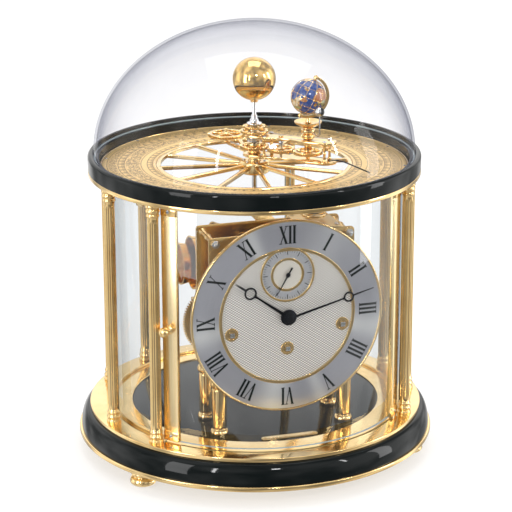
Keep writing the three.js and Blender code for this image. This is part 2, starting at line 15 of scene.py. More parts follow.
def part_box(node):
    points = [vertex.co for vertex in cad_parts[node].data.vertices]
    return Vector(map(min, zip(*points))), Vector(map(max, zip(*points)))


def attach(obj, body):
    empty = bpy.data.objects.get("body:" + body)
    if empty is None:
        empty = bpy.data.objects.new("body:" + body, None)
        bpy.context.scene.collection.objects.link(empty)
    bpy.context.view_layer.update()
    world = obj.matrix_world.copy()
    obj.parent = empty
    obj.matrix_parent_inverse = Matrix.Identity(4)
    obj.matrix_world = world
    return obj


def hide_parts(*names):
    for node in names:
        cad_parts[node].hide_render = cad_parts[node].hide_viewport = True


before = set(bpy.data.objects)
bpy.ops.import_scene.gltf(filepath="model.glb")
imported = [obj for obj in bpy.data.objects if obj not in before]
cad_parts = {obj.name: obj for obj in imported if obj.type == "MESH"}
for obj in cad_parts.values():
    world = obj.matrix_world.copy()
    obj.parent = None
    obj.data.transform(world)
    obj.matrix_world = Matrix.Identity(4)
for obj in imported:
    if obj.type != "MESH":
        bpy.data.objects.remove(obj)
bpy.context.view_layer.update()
MM = 0.001


# ---- sizes from the frame


def span(node, axis):
    """Lowest and highest place of a CAD node along an axis, in millimetres."""
    low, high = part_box(node)
    return low["xyz".index(axis)] / MM, high["xyz".index(axis)] / MM


def middle(node):
    """Centre of a CAD node's box, in millimetres."""
    low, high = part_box(node)
    return (low + high) / 2 / MM


FOOT_HEIGHT = span("foot_back", "z")[1]
TRIM_RADIUS = span("base_trim", "x")[1]
TRIM_TOP = span("base_trim", "z")[1]
CUSHION_RADIUS = span("base_cushion", "x")[1]
CUSHION_TOP = span("base_cushion", "z")[1]
PLATE_RADIUS = span("base_plate", "x")[1]
PLATE_TOP = span("base_plate", "z")[1]
PLATE_INNER = 94
FLOOR_TOP = span("floor_disc", "z")[1]
DECK_BOTTOM, DECK_TOP = span("top_plate", "z")
DECK_RADIUS = span("top_plate", "x")[1]
RING_TOP = span("black_ring", "z")[1]
RING_INNER, RING_REBATE = 115.2, 119.7
CALENDAR_INNER = 73
CALENDAR_OUTER = span("calendar_plate", "x")[1]
CALENDAR_TOP = span("calendar_plate", "z")[1]
DOME_RADIUS = span("dome", "x")[1]
DOME_FOOT, DOME_TOP = span("dome", "z")
DOME_WALL = 1.8
GLASS_INNER, GLASS_OUTER = 109.7, 112.2
DOOR_BOTTOM, DOOR_TOP = span("door_glass", "z")
STILE_INNER = 109.9
HINGE_ANGLE, HINGE_WIDTH, HINGE_OUTER = 49, 10.5, 113.9
KNOB_ANGLE, KNOB_WIDTH, KNOB_OUTER = -49.55, 12.6, 113.2
COLUMN_CIRCLE = 117.9
COLUMN_ANGLES = {"right": (54.5, 80, 103, 149), "left": (-54.5, -80, -124, -149)}

DIAL_Z = middle("chapter_ring").z
DIAL_RADIUS = span("dial_plate", "x")[1]
DIAL_FRONT = -81.4
DIAL_FACE = -79.8
SECONDS_Z = DIAL_Z + 31.5
HOUR_Y, MINUTE_Y, SECONDS_Y = DIAL_FACE - 3.2, DIAL_FACE - 5.4, DIAL_FACE - 1.7
MINUTE_ANGLE, HOUR_ANGLE, SECONDS_ANGLE = 75, 306, 210
# Painted highlights on the chapter ring: clock angle, sharpness and strength of each bright fan painted
# into its colour.
PAINTED_HIGHLIGHT_FANS = ((-24, 260, 0.7), (28, 30, 0.35), (102, 90, 0.8), (158, 260, 0.6), (190, 60, 0.95),
           (262, 110, 0.75))
BARRELS = {
    "chime": {"x": -42, "z": DIAL_Z - 10, "wheel_y": -45, "wheel": 27},
    "strike": {"x": 42, "z": DIAL_Z - 10, "wheel_y": -51, "wheel": 25},
    "time": {"x": 0, "z": DIAL_Z - 24.5, "wheel_y": -57, "wheel": 25},
}
FRONT_SHEET, BACK_SHEET = -67, -33
SHEET_HALF_WIDTH = span("movement_front_plate", "x")[1]
SHEET_BOTTOM, SHEET_TOP = span("movement_front_plate", "z")

ARM_ANGLE, TAIL_ANGLE = 49, 192
ARM_LOWER, ARM_UPPER, ARM_SHEET = 225.4, 240.2, 1.8
GEAR_Z, GEAR_THICKNESS = 231, 2.4
EARTH_ORBIT, EARTH_TILT = 43, 23.5
EARTH = Vector((*middle("globe").xy, 274))
EARTH_RADIUS = 13
SUN_Z, SUN_RADIUS = 283.5, 16
MOON = middle("moon_ball")
MOON_RADIUS = 3.5
COUNTER = middle("counter_wheel")


def on_circle(radius, bearing, z=0):
    angle = radians(bearing)
    return Vector((radius * sin(angle), -radius * cos(angle), z))


# ---- camera, lights, floor


CAMERA_LENS, CAMERA_PLACE = 146.7, on_circle(1.5, -17.1, 0.618)
CAMERA_AIM, CAMERA_ROLL = (0.0010, -0.0003, 0.1470), -0.15
LIGHTS_AIM = (0, 0, 0.17)


def aim(obj, target, roll=0):
    """Points an object's -Z at a place in metres, with a small roll in degrees."""
    toward = Vector(target) - obj.location
    turn = toward.to_track_quat("-Z", "Y").to_matrix().to_4x4()
    obj.rotation_euler = (turn @ Matrix.Rotation(radians(roll), 4, "Z")).to_euler()


def make_camera():
    data = bpy.data.cameras.new("camera")
    data.lens = CAMERA_LENS
    data.sensor_width = 36
    data.clip_end = 20
    camera = bpy.data.objects.new("camera", data)
    bpy.context.scene.collection.objects.link(camera)
    camera.location = CAMERA_PLACE
    aim(camera, CAMERA_AIM, CAMERA_ROLL)
    bpy.context.scene.camera = camera


def make_light(name, place, width, height, power):
    data = bpy.data.lights.new(name, "AREA")
    data.shape = "RECTANGLE"
    data.size = width
    data.size_y = height
    data.energy = power
    light = bpy.data.objects.new(name, data)
    bpy.context.scene.collection.objects.link(light)
    light.location = place
    aim(light, LIGHTS_AIM)


def make_lights():
    make_light("key_left", (-1.7, -0.75, 0.5), 0.5, 1.3, 11)
    make_light("fill_right", (1.6, -0.55, 0.45), 0.35, 1.2, 7)
    make_light("window", (-0.1, -1.9, 1.35), 0.20, 0.14, 6)
    make_light("strip_left", (-1.25, -1.35, 0.75), 0.07, 0.7, 5)
    make_light("strip_right", (1.2, -1.3, 0.9), 0.06, 0.5, 3)
    make_light("overhead", (0.1, 0.25, 1.7), 1.2, 1.0, 9)


def make_world():
    """White all round, with a studio's softer walls where only shiny surfaces look."""
    world = bpy.data.worlds.new("studio")
    bpy.context.scene.world = world
    world.use_nodes = True
    tree = world.node_tree
    tree.nodes.clear()
    place = tree.nodes.new("ShaderNodeTexCoord").outputs["Generated"]
    split = node(tree, "ShaderNodeSeparateXYZ", Vector=place)
    sides = mul(tree, calc(tree, "POWER", calc(tree, "ABSOLUTE", split.outputs["X"]), 2.0), 0.65)
    rear = mul(tree, calc(tree, "MAXIMUM", split.outputs["Y"], 0.0), 0.42)
    above = mul(tree, calc(tree, "MAXIMUM", split.outputs["Z"], 0.0), 0.35)
    walls = add(tree, add(tree, add(tree, sides, rear), above), 0.50)
    patches = ranged(tree, noise(tree, 1.7, 2, 0.5, place), 0.4, 1.5, 0.36, 0.62)
    seen = node(tree, "ShaderNodeBackground", Color=(1, 1, 1, 1), Strength=1.0)
    mirrored = node(tree, "ShaderNodeBackground", Color=(1, 0.995, 0.985, 1),
                    Strength=mul(tree, walls, patches))
    rays = tree.nodes.new("ShaderNodeLightPath")
    mix = tree.nodes.new("ShaderNodeMixShader")
    tree.links.new(rays.outputs["Is Glossy Ray"], mix.inputs[0])
    tree.links.new(seen.outputs[0], mix.inputs[1])
    tree.links.new(mirrored.outputs[0], mix.inputs[2])
    out = tree.nodes.new("ShaderNodeOutputWorld")
    tree.links.new(mix.outputs[0], out.inputs[0])


def make_floor():
    mesh = bpy.data.meshes.new("floor")
    reach = 6
    corners = [(-reach, -reach, 0), (reach, -reach, 0), (reach, reach, 0), (-reach, reach, 0)]
    mesh.from_pydata(corners, [], [(0, 1, 2, 3)])
    mesh.materials.append(FLOOR)
    floor = bpy.data.objects.new("floor", mesh)
    floor.visible_glossy = False
    bpy.context.scene.collection.objects.link(floor)


# ---- node helpers


def node(tree, kind, settings=None, **inputs):
    """Adds a node; an input is a number, a colour or another node's output."""
    made = tree.nodes.new(kind)
    for key, value in (settings or {}).items():
        setattr(made, key, value)
    for key, value in inputs.items():
        connect(tree, value, made.inputs[key.replace("_", " ")])
    return made


def connect(tree, value, socket):
    if isinstance(value, bpy.types.NodeSocket):
        tree.links.new(value, socket)
    else:
        socket.default_value = value


def calc(tree, operation, *values):
    """The output of a Math node."""
    made = tree.nodes.new("ShaderNodeMath")
    made.operation = operation
    for value, socket in zip(values, made.inputs):
        connect(tree, value, socket)
    return made.outputs[0]


def add(tree, *values):
    return calc(tree, "ADD", *values)


def mul(tree, *values):
    return calc(tree, "MULTIPLY", *values)


def blend(tree, factor, first, second):
    made = tree.nodes.new("ShaderNodeMix")
    made.data_type = "RGBA"
    connect(tree, factor, made.inputs["Factor"])
    connect(tree, first, made.inputs["A"])
    connect(tree, second, made.inputs["B"])
    return made.outputs["Result"]


def noise(tree, scale, detail=3, roughness=0.5, vector=None):
    made = node(tree, "ShaderNodeTexNoise", Scale=scale, Detail=detail, Roughness=roughness)
    if vector is None:
        vector = tree.nodes.new("ShaderNodeTexCoord").outputs["Object"]
    tree.links.new(vector, made.inputs["Vector"])
    return made.outputs["Fac"]


def ranged(tree, value, low, high, start=0.0, end=1.0):
    """Maps a value from start..end to low..high."""
    made = node(tree, "ShaderNodeMapRange", Value=value)
    for key, number in (("From Min", start), ("From Max", end), ("To Min", low), ("To Max", high)):
        made.inputs[key].default_value = number
    return made.outputs[0]


def bump(tree, height, strength, distance):
    """Distance is in millimetres."""
    made = node(tree, "ShaderNodeBump", Strength=strength, Distance=distance * MM, Height=height)
    return made.outputs[0]


def new_material(name):
    made = bpy.data.materials.new(name)
    made.use_nodes = True
    made.node_tree.nodes.clear()
    return made, made.node_tree


def principled(tree, **inputs):
    shader = node(tree, "ShaderNodeBsdfPrincipled", **inputs)
    out = tree.nodes.new("ShaderNodeOutputMaterial")
    tree.links.new(shader.outputs[0], out.inputs[0])
    return shader


def rgb(red, green, blue):
    return (red, green, blue, 1)


def polar(tree, across, up, centre_up=0.0):
    """Radius in millimetres and angle in turns, about an axis through the named coordinates."""
    place = tree.nodes.new("ShaderNodeTexCoord").outputs["Object"]
    split = node(tree, "ShaderNodeSeparateXYZ", Vector=place)
    u = calc(tree, "DIVIDE", split.outputs[across], MM)
    v = calc(tree, "SUBTRACT", calc(tree, "DIVIDE", split.outputs[up], MM), centre_up)
    radius = calc(tree, "SQRT", add(tree, calc(tree, "POWER", calc(tree, "ABSOLUTE", u), 2.0),
                                     calc(tree, "POWER", calc(tree, "ABSOLUTE", v), 2.0)))
    turns = calc(tree, "DIVIDE", calc(tree, "ARCTAN2", v, u), 2 * pi)
    return radius, turns, u, v


# ---- materials

TARNISH_SCALE = 45


def metal(name, bright, dull, rough_low, rough_high, grain):
    """Metal with soft patches of tarnish, handling smears and a little surface grain."""
    made, tree = new_material(name)
    patches = noise(tree, TARNISH_SCALE, 4)
    colour = blend(tree, ranged(tree, patches, 0, 1, 0.35, 0.75), rgb(*bright), rgb(*dull))
    smears = noise(tree, TARNISH_SCALE * 3.1, 6, 0.65)
    rough = ranged(tree, smears, rough_low, rough_high, 0.3, 0.7)
    principled(tree, Base_Color=colour, Metallic=1.0, Roughness=rough,
               Normal=bump(tree, noise(tree, 2600, 2), grain, 0.05))
    return made


def brushed_metal(name, bright, dull, rough, stretch):
    """Metal brushed one way: the noise is stretched by a scale for each axis."""
    made, tree = new_material(name)
    place = tree.nodes.new("ShaderNodeTexCoord").outputs["Object"]
    mapping = node(tree, "ShaderNodeMapping", Vector=place)
    mapping.inputs["Scale"].default_value = stretch
    lines = noise(tree, 1.0, 3, 0.6, mapping.outputs[0])
    colour = blend(tree, ranged(tree, lines, 0, 1, 0.3, 0.7), rgb(*bright), rgb(*dull))
    principled(tree, Base_Color=colour, Metallic=1.0,
               Roughness=ranged(tree, lines, rough - 0.06, rough + 0.08),
               Normal=bump(tree, lines, 0.05, 0.02))
    return made


def make_lacquer():
    made, tree = new_material("lacquer_black")
    peel = noise(tree, 130, 2)
    dust = noise(tree, 900, 2)
    rough = ranged(tree, dust, 0.03, 0.12, 0.5, 0.75)
    colour = blend(tree, noise(tree, 12, 2), rgb(0.0020, 0.0036, 0.0038), rgb(0.0032, 0.0050, 0.0052))
    principled(tree, Base_Color=colour, Roughness=rough, Specular_IOR_Level=0.2,
               Normal=bump(tree, peel, 0.025, 0.06))
    return made


def make_glass(name, tint, edge, shine):
    """Clear glass: it mirrors by Fresnel on its near face only and darkens where it is seen edge on."""
    made, tree = new_material(name)
    facing = node(tree, "ShaderNodeLayerWeight", Blend=0.5).outputs["Facing"]
    through = blend(tree, calc(tree, "POWER", facing, 3.5), rgb(*tint), rgb(*edge))
    clear = node(tree, "ShaderNodeBsdfTransparent", Color=through)
    smears = ranged(tree, noise(tree, 30, 3), 0.0, 0.03)
    mirror = node(tree, "ShaderNodeBsdfGlossy", Color=rgb(1, 1, 1), Roughness=smears)
    outward = calc(tree, "SUBTRACT", 1.0, tree.nodes.new("ShaderNodeNewGeometry").outputs["Backfacing"])
    share = mul(tree, node(tree, "ShaderNodeFresnel", IOR=1.45).outputs[0], outward)
    mix = tree.nodes.new("ShaderNodeMixShader")
    tree.links.new(mul(tree, share, shine), mix.inputs[0])
    tree.links.new(clear.outputs[0], mix.inputs[1])
    tree.links.new(mirror.outputs[0], mix.inputs[2])
    out = tree.nodes.new("ShaderNodeOutputMaterial")
    tree.links.new(mix.outputs[0], out.inputs[0])
    return made


def make_glass_edge():
    """The ground edge of a pane, where glass shows its own grey-green."""
    made, tree = new_material("glass_edge")
    grind = noise(tree, 1500, 3)
    colour = blend(tree, grind, rgb(0.30, 0.37, 0.37), rgb(0.48, 0.56, 0.56))
    principled(tree, Base_Color=colour, Roughness=ranged(tree, grind, 0.12, 0.3), Coat_Weight=0.3)
    return made


def make_chapter_silver():
    """Silvered metal finished round the centre, with painted highlights: bright fans at set clock angles
    are painted into its colour.
    """
    made, tree = new_material("silvered_ring")
    radius, turns, _, _ = polar(tree, "X", "Z", DIAL_Z)
    streaks = node(tree, "ShaderNodeTexNoise", {"noise_dimensions": "2D"}, Scale=1.0, Detail=4,
                   Roughness=0.6)
    ring_place = node(tree, "ShaderNodeCombineXYZ", X=mul(tree, radius, 5.5),
                      Y=mul(tree, turns, 14.0))
    tree.links.new(ring_place.outputs[0], streaks.inputs["Vector"])
    fine = streaks.outputs["Fac"]
    # Painted highlight: the bright fans round the ring are summed into one mask.
    rays = 0.0
    for clock, sharpness, strength in PAINTED_HIGHLIGHT_FANS:
        away = calc(tree, "COSINE", calc(tree, "SUBTRACT", mul(tree, turns, 2 * pi),
                                         radians(90 - clock)))
        painted_fan = calc(tree, "POWER", calc(tree, "MAXIMUM", away, 0.0), float(sharpness))
        rays = add(tree, rays, mul(tree, painted_fan, strength))
    plain = blend(tree, fine, rgb(0.60, 0.60, 0.65), rgb(0.47, 0.47, 0.52))
    # The painted highlight fans lighten the silver to near white.
    colour = blend(tree, calc(tree, "MINIMUM", rays, 1.0), plain, rgb(0.98, 0.98, 0.97))
    tangent = node(tree, "ShaderNodeTangent", {"direction_type": "RADIAL", "axis": "Y"})
    principled(tree, Base_Color=colour, Metallic=0.82, Roughness=ranged(tree, fine, 0.26, 0.38),
               Anisotropic=0.8, Tangent=tangent.outputs[0], Normal=bump(tree, fine, 0.10, 0.02))
    return made


def make_guilloche(name, pitch, bright, groove_shade):
    """Engine turning: two sets of cut lines cross and leave raised, slightly flat diamonds; the cuts are
    coloured darker as painted shade.
    """
    made, tree = new_material(name)
    _, _, u, v = polar(tree, "X", "Z", DIAL_Z)
    steep = mul(tree, v, 1.45)
    cuts = []
    for slope in ("ADD", "SUBTRACT"):
        phase = mul(tree, calc(tree, slope, u, steep), pi / pitch)
        cuts.append(calc(tree, "ABSOLUTE", calc(tree, "SINE", phase)))
    height = calc(tree, "POWER", mul(tree, cuts[0], cuts[1]), 0.6)
    # Painted shade: the cut lines take the darker colour.
    colour = blend(tree, ranged(tree, height, 0, 1, 0.22, 0.85), rgb(*groove_shade), rgb(*bright))
    principled(tree, Base_Color=colour, Metallic=0.3, Roughness=ranged(tree, height, 0.42, 0.3),
               Normal=bump(tree, height, 0.6, 0.12))
    return made


def engraved_lines(tree, radius, turns):
    """Darkness of the calendar plate's engraving: circles, day and month marks and scrollwork."""

    def between(low, high):
        return mul(tree, calc(tree, "GREATER_THAN", radius, low),
                    calc(tree, "LESS_THAN", radius, high))

    def marks(count, share, low, high):
        phase = calc(tree, "FRACT", mul(tree, add(tree, turns, 1.0), float(count)))
        return mul(tree, calc(tree, "COMPARE", phase, 0.5, share), between(low, high))

    def scrollwork(repeats, ripple, levels, width, low, high):
        """Contours of a smooth noise that runs round the plate in equal, seamless repeats."""
        around = mul(tree, turns, 2 * pi * repeats)
        place = node(tree, "ShaderNodeCombineXYZ", X=calc(tree, "SINE", around),
                     Y=calc(tree, "COSINE", around), Z=mul(tree, radius, ripple))
        leaf = noise(tree, 1.35, 1.5, 0.5, place.outputs[0])
        phase = calc(tree, "FRACT", mul(tree, leaf, float(levels)))
        return mul(tree, calc(tree, "COMPARE", phase, 0.5, width), between(low, high))

    parts = [calc(tree, "COMPARE", radius, place, 0.3) for place in (75.6, 79.6, 84.2, 96.6, 101.2, 109.4,
             113.2)]
    parts += [marks(365, 0.20, 96.6, 98.8), marks(73, 0.12, 96.6, 101.2), marks(180, 0.22, 75.6, 77.4),
              marks(72, 0.12, 75.6, 79.6), marks(12, 0.012, 84.2, 101.2)]
    parts += [scrollwork(20, 0.22, 6, 0.26, 85.4, 95.4), scrollwork(30, 0.26, 6, 0.24, 102.2, 108.4)]
    total = parts[0]
    for part in parts[1:]:
        total = calc(tree, "MAXIMUM", total, part)
    return total


def make_calendar_brass():
    made, tree = new_material("engraved_brass")
    radius, turns, _, _ = polar(tree, "X", "Y")
    lines = engraved_lines(tree, radius, turns)
    rings = node(tree, "ShaderNodeTexNoise", {"noise_dimensions": "1D"}, W=mul(tree, radius, 9.0),
                 Scale=1.0)
    fine = rings.outputs["Fac"]
    plain = blend(tree, fine, rgb(0.86, 0.61, 0.25), rgb(0.78, 0.53, 0.20))
    colour = blend(tree, mul(tree, lines, 0.85), plain, rgb(0.16, 0.075, 0.02))
    height = calc(tree, "SUBTRACT", mul(tree, fine, 0.12), lines)
    principled(tree, Base_Color=colour, Metallic=0.55, Roughness=ranged(tree, fine, 0.30, 0.42),
               Specular_IOR_Level=0.25, Normal=bump(tree, height, 0.6, 0.12))
    return made


def make_globe():
    """Blue stone seas with inlaid land in warm stones, each land edged in gold."""
    made, tree = new_material("globe_stone")
    place = tree.nodes.new("ShaderNodeTexCoord").outputs["Object"]
    shape = noise(tree, 62, 5, 0.55, place)
    land = calc(tree, "GREATER_THAN", shape, 0.535)
    edge = calc(tree, "COMPARE", shape, 0.535, 0.008)
    veins = noise(tree, 420, 5, 0.7, place)
    sea = blend(tree, ranged(tree, veins, 0, 1, 0.45, 0.75), rgb(0.012, 0.035, 0.16), rgb(0.06, 0.12, 0.34))
    stones = tree.nodes.new("ShaderNodeTexVoronoi")
    tree.links.new(place, stones.inputs["Vector"])
    stones.inputs["Scale"].default_value = 95
    pick = node(tree, "ShaderNodeSeparateColor", Color=stones.outputs["Color"]).outputs[0]
    warm = blend(tree, calc(tree, "GREATER_THAN", pick, 0.5), rgb(0.42, 0.13, 0.035), rgb(0.78, 0.66, 0.46))
    warm = blend(tree, calc(tree, "GREATER_THAN", pick, 0.75), warm, rgb(0.30, 0.33, 0.14))
    warm = blend(tree, ranged(tree, veins, 0, 0.5), warm, rgb(0.14, 0.07, 0.03))
    colour = blend(tree, land, sea, warm)
    colour = blend(tree, edge, colour, rgb(0.85, 0.62, 0.25))
    principled(tree, Base_Color=colour, Metallic=edge, Roughness=ranged(tree, veins, 0.10, 0.22),
               Coat_Weight=0.8, Coat_Roughness=0.04)
    return made


def make_moon():
    """One half silvered and one half black, the lit side toward the sun."""
    made, tree = new_material("moon_halves")
    place = tree.nodes.new("ShaderNodeTexCoord").outputs["Object"]
    split = node(tree, "ShaderNodeSeparateXYZ", Vector=place)
    lit = calc(tree, "LESS_THAN", split.outputs["X"], MOON.x * MM)
    speck = noise(tree, 900, 3)
    silvered = blend(tree, speck, rgb(0.82, 0.82, 0.84), rgb(0.66, 0.66, 0.70))
    principled(tree, Base_Color=blend(tree, lit, rgb(0.006, 0.006, 0.007), silvered), Metallic=lit,
               Roughness=ranged(tree, speck, 0.1, 0.25))
    return made


def make_floor_material():
    made, tree = new_material("pale_floor")
    soft = noise(tree, 3, 2)
    principled(tree, Base_Color=blend(tree, soft, rgb(0.40, 0.40, 0.40), rgb(0.42, 0.42, 0.418)),
               Roughness=0.6, Specular_IOR_Level=0.1, Emission_Color=rgb(1, 1, 1), Emission_Strength=0.56)
    return made


BRASS = metal("brass_polished", (0.92, 0.68, 0.34), (0.82, 0.56, 0.24), 0.08, 0.18, 0.02)
SUN_GOLD = metal("gold_mirror", (0.78, 0.52, 0.18), (0.70, 0.45, 0.15), 0.03, 0.08, 0.01)
WARM_BRASS = metal("brass_turned", (0.84, 0.59, 0.26), (0.68, 0.43, 0.16), 0.14, 0.26, 0.05)
# The stile's brass is coloured lighter than the other brass, a painted highlight on its flat face.
SATIN_STILE = brushed_metal("brass_stile", (0.98, 0.80, 0.48), (0.92, 0.71, 0.39), 0.24, (700, 700, 12))
SATIN_BRASS = brushed_metal("brass_satin", (0.86, 0.66, 0.36), (0.76, 0.55, 0.28), 0.30, (900, 40, 40))
PLATE_BRASS = brushed_metal("brass_movement", (0.86, 0.60, 0.24), (0.78, 0.52, 0.19), 0.20, (60, 60, 900))
BELL_METAL = metal("bell_bronze", (0.90, 0.55, 0.13), (0.62, 0.32, 0.05), 0.12, 0.22, 0.02)
STEEL = metal("steel_bright", (0.72, 0.72, 0.73), (0.55, 0.55, 0.57), 0.12, 0.26, 0.03)
PALE_SILVER = brushed_metal("silver_pale", (0.95, 0.95, 0.97), (0.84, 0.84, 0.88), 0.38, (500, 60, 500))
SILVER = metal("polished_silver", (0.86, 0.86, 0.87), (0.72, 0.72, 0.75), 0.10, 0.20, 0.02)
BLUED = metal("steel_blued", (0.018, 0.022, 0.032), (0.010, 0.011, 0.015), 0.12, 0.24, 0.02)
NUMERAL = metal("numeral_enamel", (0.020, 0.030, 0.030), (0.012, 0.018, 0.018), 0.3, 0.45, 0.05)
LACQUER = make_lacquer()
CASE_GLASS = make_glass("case_glass", (0.942, 0.948, 0.952), (0.50, 0.55, 0.58), 0.9)
DOME_GLASS = make_glass("dome_glass", (0.983, 0.983, 0.989), (0.56, 0.57, 0.63), 0.5)
GLASS_EDGE = make_glass_edge()
CHAPTER_SILVER = make_chapter_silver()
# The second colour of each guilloché is painted shade in its cut lines.
DIAL_GUILLOCHE = make_guilloche("dial_guilloche", 2.7, (0.96, 0.93, 0.88), (0.22, 0.19, 0.16))
SECONDS_GUILLOCHE = make_guilloche("seconds_guilloche", 2.0, (0.94, 0.90, 0.82), (0.40, 0.35, 0.28))
CALENDAR_BRASS = make_calendar_brass()
GLOBE_STONE = make_globe()
MOON_HALVES = make_moon()
FLOOR = make_floor_material()


# ---- mesh helpers


def put(name, mesh, material, body="case", at=None, replaces=(), sharp=38, own_origin=False):
    """Puts a finished mesh into the scene as a piece of a body.

    A piece with its own origin has its finish drawn about its own centre.
    """
    if at is not None and not own_origin:
        mesh.transform(at)
    mesh.materials.clear()
    mesh.materials.append(material)
    mesh.shade_smooth()
    if sharp:
        mesh.set_sharp_from_angle(angle=radians(sharp))
    piece = bpy.data.objects.new(name, mesh)
    if own_origin:
        piece.matrix_world = at
    bpy.context.scene.collection.objects.link(piece)
    if replaces:
        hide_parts(*replaces)
    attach(piece, body)
    return piece


def shift(x, y, z):
    return Matrix.Translation(Vector((x, y, z)) * MM)


def turn(angle, axis="Z"):
    return Matrix.Rotation(radians(angle), 4, axis)


FACING = turn(90, "X")  # lays a piece drawn flat, or turned about +Z, to face -Y


def soften(points, radius=0.4, steps=3, closed=False):
    """Rounds the corners of an outline."""
    count = len(points)
    rounded = []
    for i, point in enumerate(points):
        here = Vector(point)
        if not closed and i in (0, count - 1):
            rounded.append(tuple(here))
            continue
        before = Vector(points[i - 1]) - here
        after = Vector(points[(i + 1) % count]) - here
        if before.length < 1e-6 or after.length < 1e-6 or before.angle(after) > radians(165):
            rounded.append(tuple(here))
            continue
        start = here + before.normalized() * min(radius, before.length * 0.45)
        end = here + after.normalized() * min(radius, after.length * 0.45)
        for step in range(steps + 1):
            t = step / steps
            rounded.append(tuple(start * (1 - t) ** 2 + here * 2 * t * (1 - t) + end * t ** 2))
    return rounded


def lathe(profile, sides=64, closed=False):
    """A body of revolution about +Z from (radius, z) points."""
    form = bmesh.new()
    rings = []
    for radius, z in profile:
        count = 1 if radius < 1e-4 else sides
        rings.append([
            form.verts.new((radius * MM * cos(2 * pi * i / sides),
                            radius * MM * sin(2 * pi * i / sides), z * MM))
            for i in range(count)
        ])
    pairs = list(zip(rings, rings[1:]))
    if closed:
        pairs.append((rings[-1], rings[0]))
    for low, high in pairs:
        for i in range(sides):
            j = (i + 1) % sides
            corners = [low[i % len(low)], low[j % len(low)], high[j % len(high)], high[i % len(high)]]
            face = list(dict.fromkeys(corners))
            if len(face) > 2:
                form.faces.new(face)
    return to_mesh(form)


def turned(name, profile, material, body="case", at=None, replaces=(), soft=(0.3, 2), sides=32):
    """A turned piece with softened corners; a profile that starts away from the axis closes on itself."""
    closed = profile[0][0] > 0
    put(name, lathe(soften(profile, *soft, closed), sides, closed), material, body, at, replaces)


def to_mesh(form):
    bmesh.ops.recalc_face_normals(form, faces=form.faces)
    mesh = bpy.data.meshes.new("mesh")
    form.to_mesh(mesh)
    form.free()
    return mesh


def curve_to_mesh(curve):
    holder = bpy.data.objects.new("outline", curve)
    bpy.context.scene.collection.objects.link(holder)
    graph = bpy.context.evaluated_depsgraph_get()
    mesh = bpy.data.meshes.new_from_object(holder.evaluated_get(graph))
    bpy.data.objects.remove(holder)
    bpy.data.curves.remove(curve)
    return mesh


def add_spline(curve, points, cyclic):
    spline = curve.splines.new("POLY")
    spline.points.add(len(points) - 1)
    for target, point in zip(spline.points, points):
        x, y, z = (*point, 0)[:3]
        target.co = (x * MM, y * MM, z * MM, 1)
    spline.use_cyclic_u = cyclic


def flat(outlines, bottom, top, bevel=0.12):
    """A flat piece between two heights, with softened edges. The first outline is the outside."""
    curve = bpy.data.curves.new("outline", "CURVE")
    curve.dimensions = "2D"
    curve.fill_mode = "BOTH"
    curve.extrude = ((top - bottom) / 2 - bevel) * MM
    curve.bevel_depth = bevel * MM
    curve.bevel_resolution = 1
    curve.offset = -bevel * MM
    for outline in outlines:
        add_spline(curve, outline, True)
    mesh = curve_to_mesh(curve)
    form = bmesh.new()
    form.from_mesh(mesh)
    bmesh.ops.remove_doubles(form, verts=form.verts, dist=1e-6)
    bmesh.ops.translate(form, verts=form.verts, vec=(0, 0, (bottom + top) / 2 * MM))
    bpy.data.meshes.remove(mesh)
    return to_mesh(form)


def wire(points, radius, closed=False, resolution=3):
    """A round wire along points."""
    curve = bpy.data.curves.new("wire", "CURVE")
    curve.dimensions = "3D"
    curve.bevel_depth = radius * MM
    curve.bevel_resolution = resolution
    curve.use_fill_caps = not closed
    add_spline(curve, points, closed)
    return curve_to_mesh(curve)


def joined(*meshes):
    """Several meshes as one."""
    form = bmesh.new()
    for mesh in meshes:
        form.from_mesh(mesh)
        bpy.data.meshes.remove(mesh)
    mesh = bpy.data.meshes.new("mesh")
    form.to_mesh(mesh)
    form.free()
    return mesh


def moved(mesh, matrix):
    mesh.transform(matrix)
    return mesh


def circle(x, y, radius, count=24, hole=True):
    """Points of a circle; a hole runs clockwise."""
    way = -1 if hole else 1
    return [(x + radius * cos(2 * pi * i / count), y + way * radius * sin(2 * pi * i / count))
            for i in range(count)]


def arc(radius, start, end, steps, x=0, y=0, rise=None):
    """Points round a centre between two angles in degrees; rise is the upright half axis of an ellipse."""
    angles = [radians(start + (end - start) * i / steps) for i in range(steps + 1)]
    return [(x + radius * cos(angle), y + (rise or radius) * sin(angle)) for angle in angles]


def section(inner, outer, low, high):
    """The profile of a plain ring, or of a rod where inner is 0."""
    return [(inner, low), (outer, low), (outer, high), (inner, high)]


def rectangle(x, y, width, height, radius=0.5):
    corners = section(x - width / 2, x + width / 2, y - height / 2, y + height / 2)
    return soften(corners, radius, 3, closed=True)


def toothed(teeth, radius, depth):
    """Outline of a wheel with rounded clock teeth."""
    tooth = ((0.0, 1.0), (0.14, 0.35), (0.25, 0.05), (0.38, 0.05), (0.49, 0.35), (0.63, 1.0))
    points = []
    for i in range(teeth):
        for share, drop in tooth:
            angle = 2 * pi * (i + share) / teeth
            reach = radius - depth * drop
            points.append((reach * cos(angle), reach * sin(angle)))
    return points


def crossings(count, hub, rim, width, turned_by=0.0):
    """The windows between a wheel's arms."""
    windows = []
    for i in range(count):
        start = 2 * pi * i / count + turned_by
        end = start + 2 * pi / count
        outline = []
        for reach, way in ((rim, 1), (hub, -1)):
            trim = asin(min(0.9, width / 2 / reach))
            low, high = start + trim, end - trim
            for step in range(9):
                t = step / 8 if way > 0 else 1 - step / 8
                angle = low + (high - low) * t
                outline.append((reach * cos(angle), reach * sin(angle)))
        windows.append(soften(outline, 0.8, 2, closed=True)[::-1])
    return windows


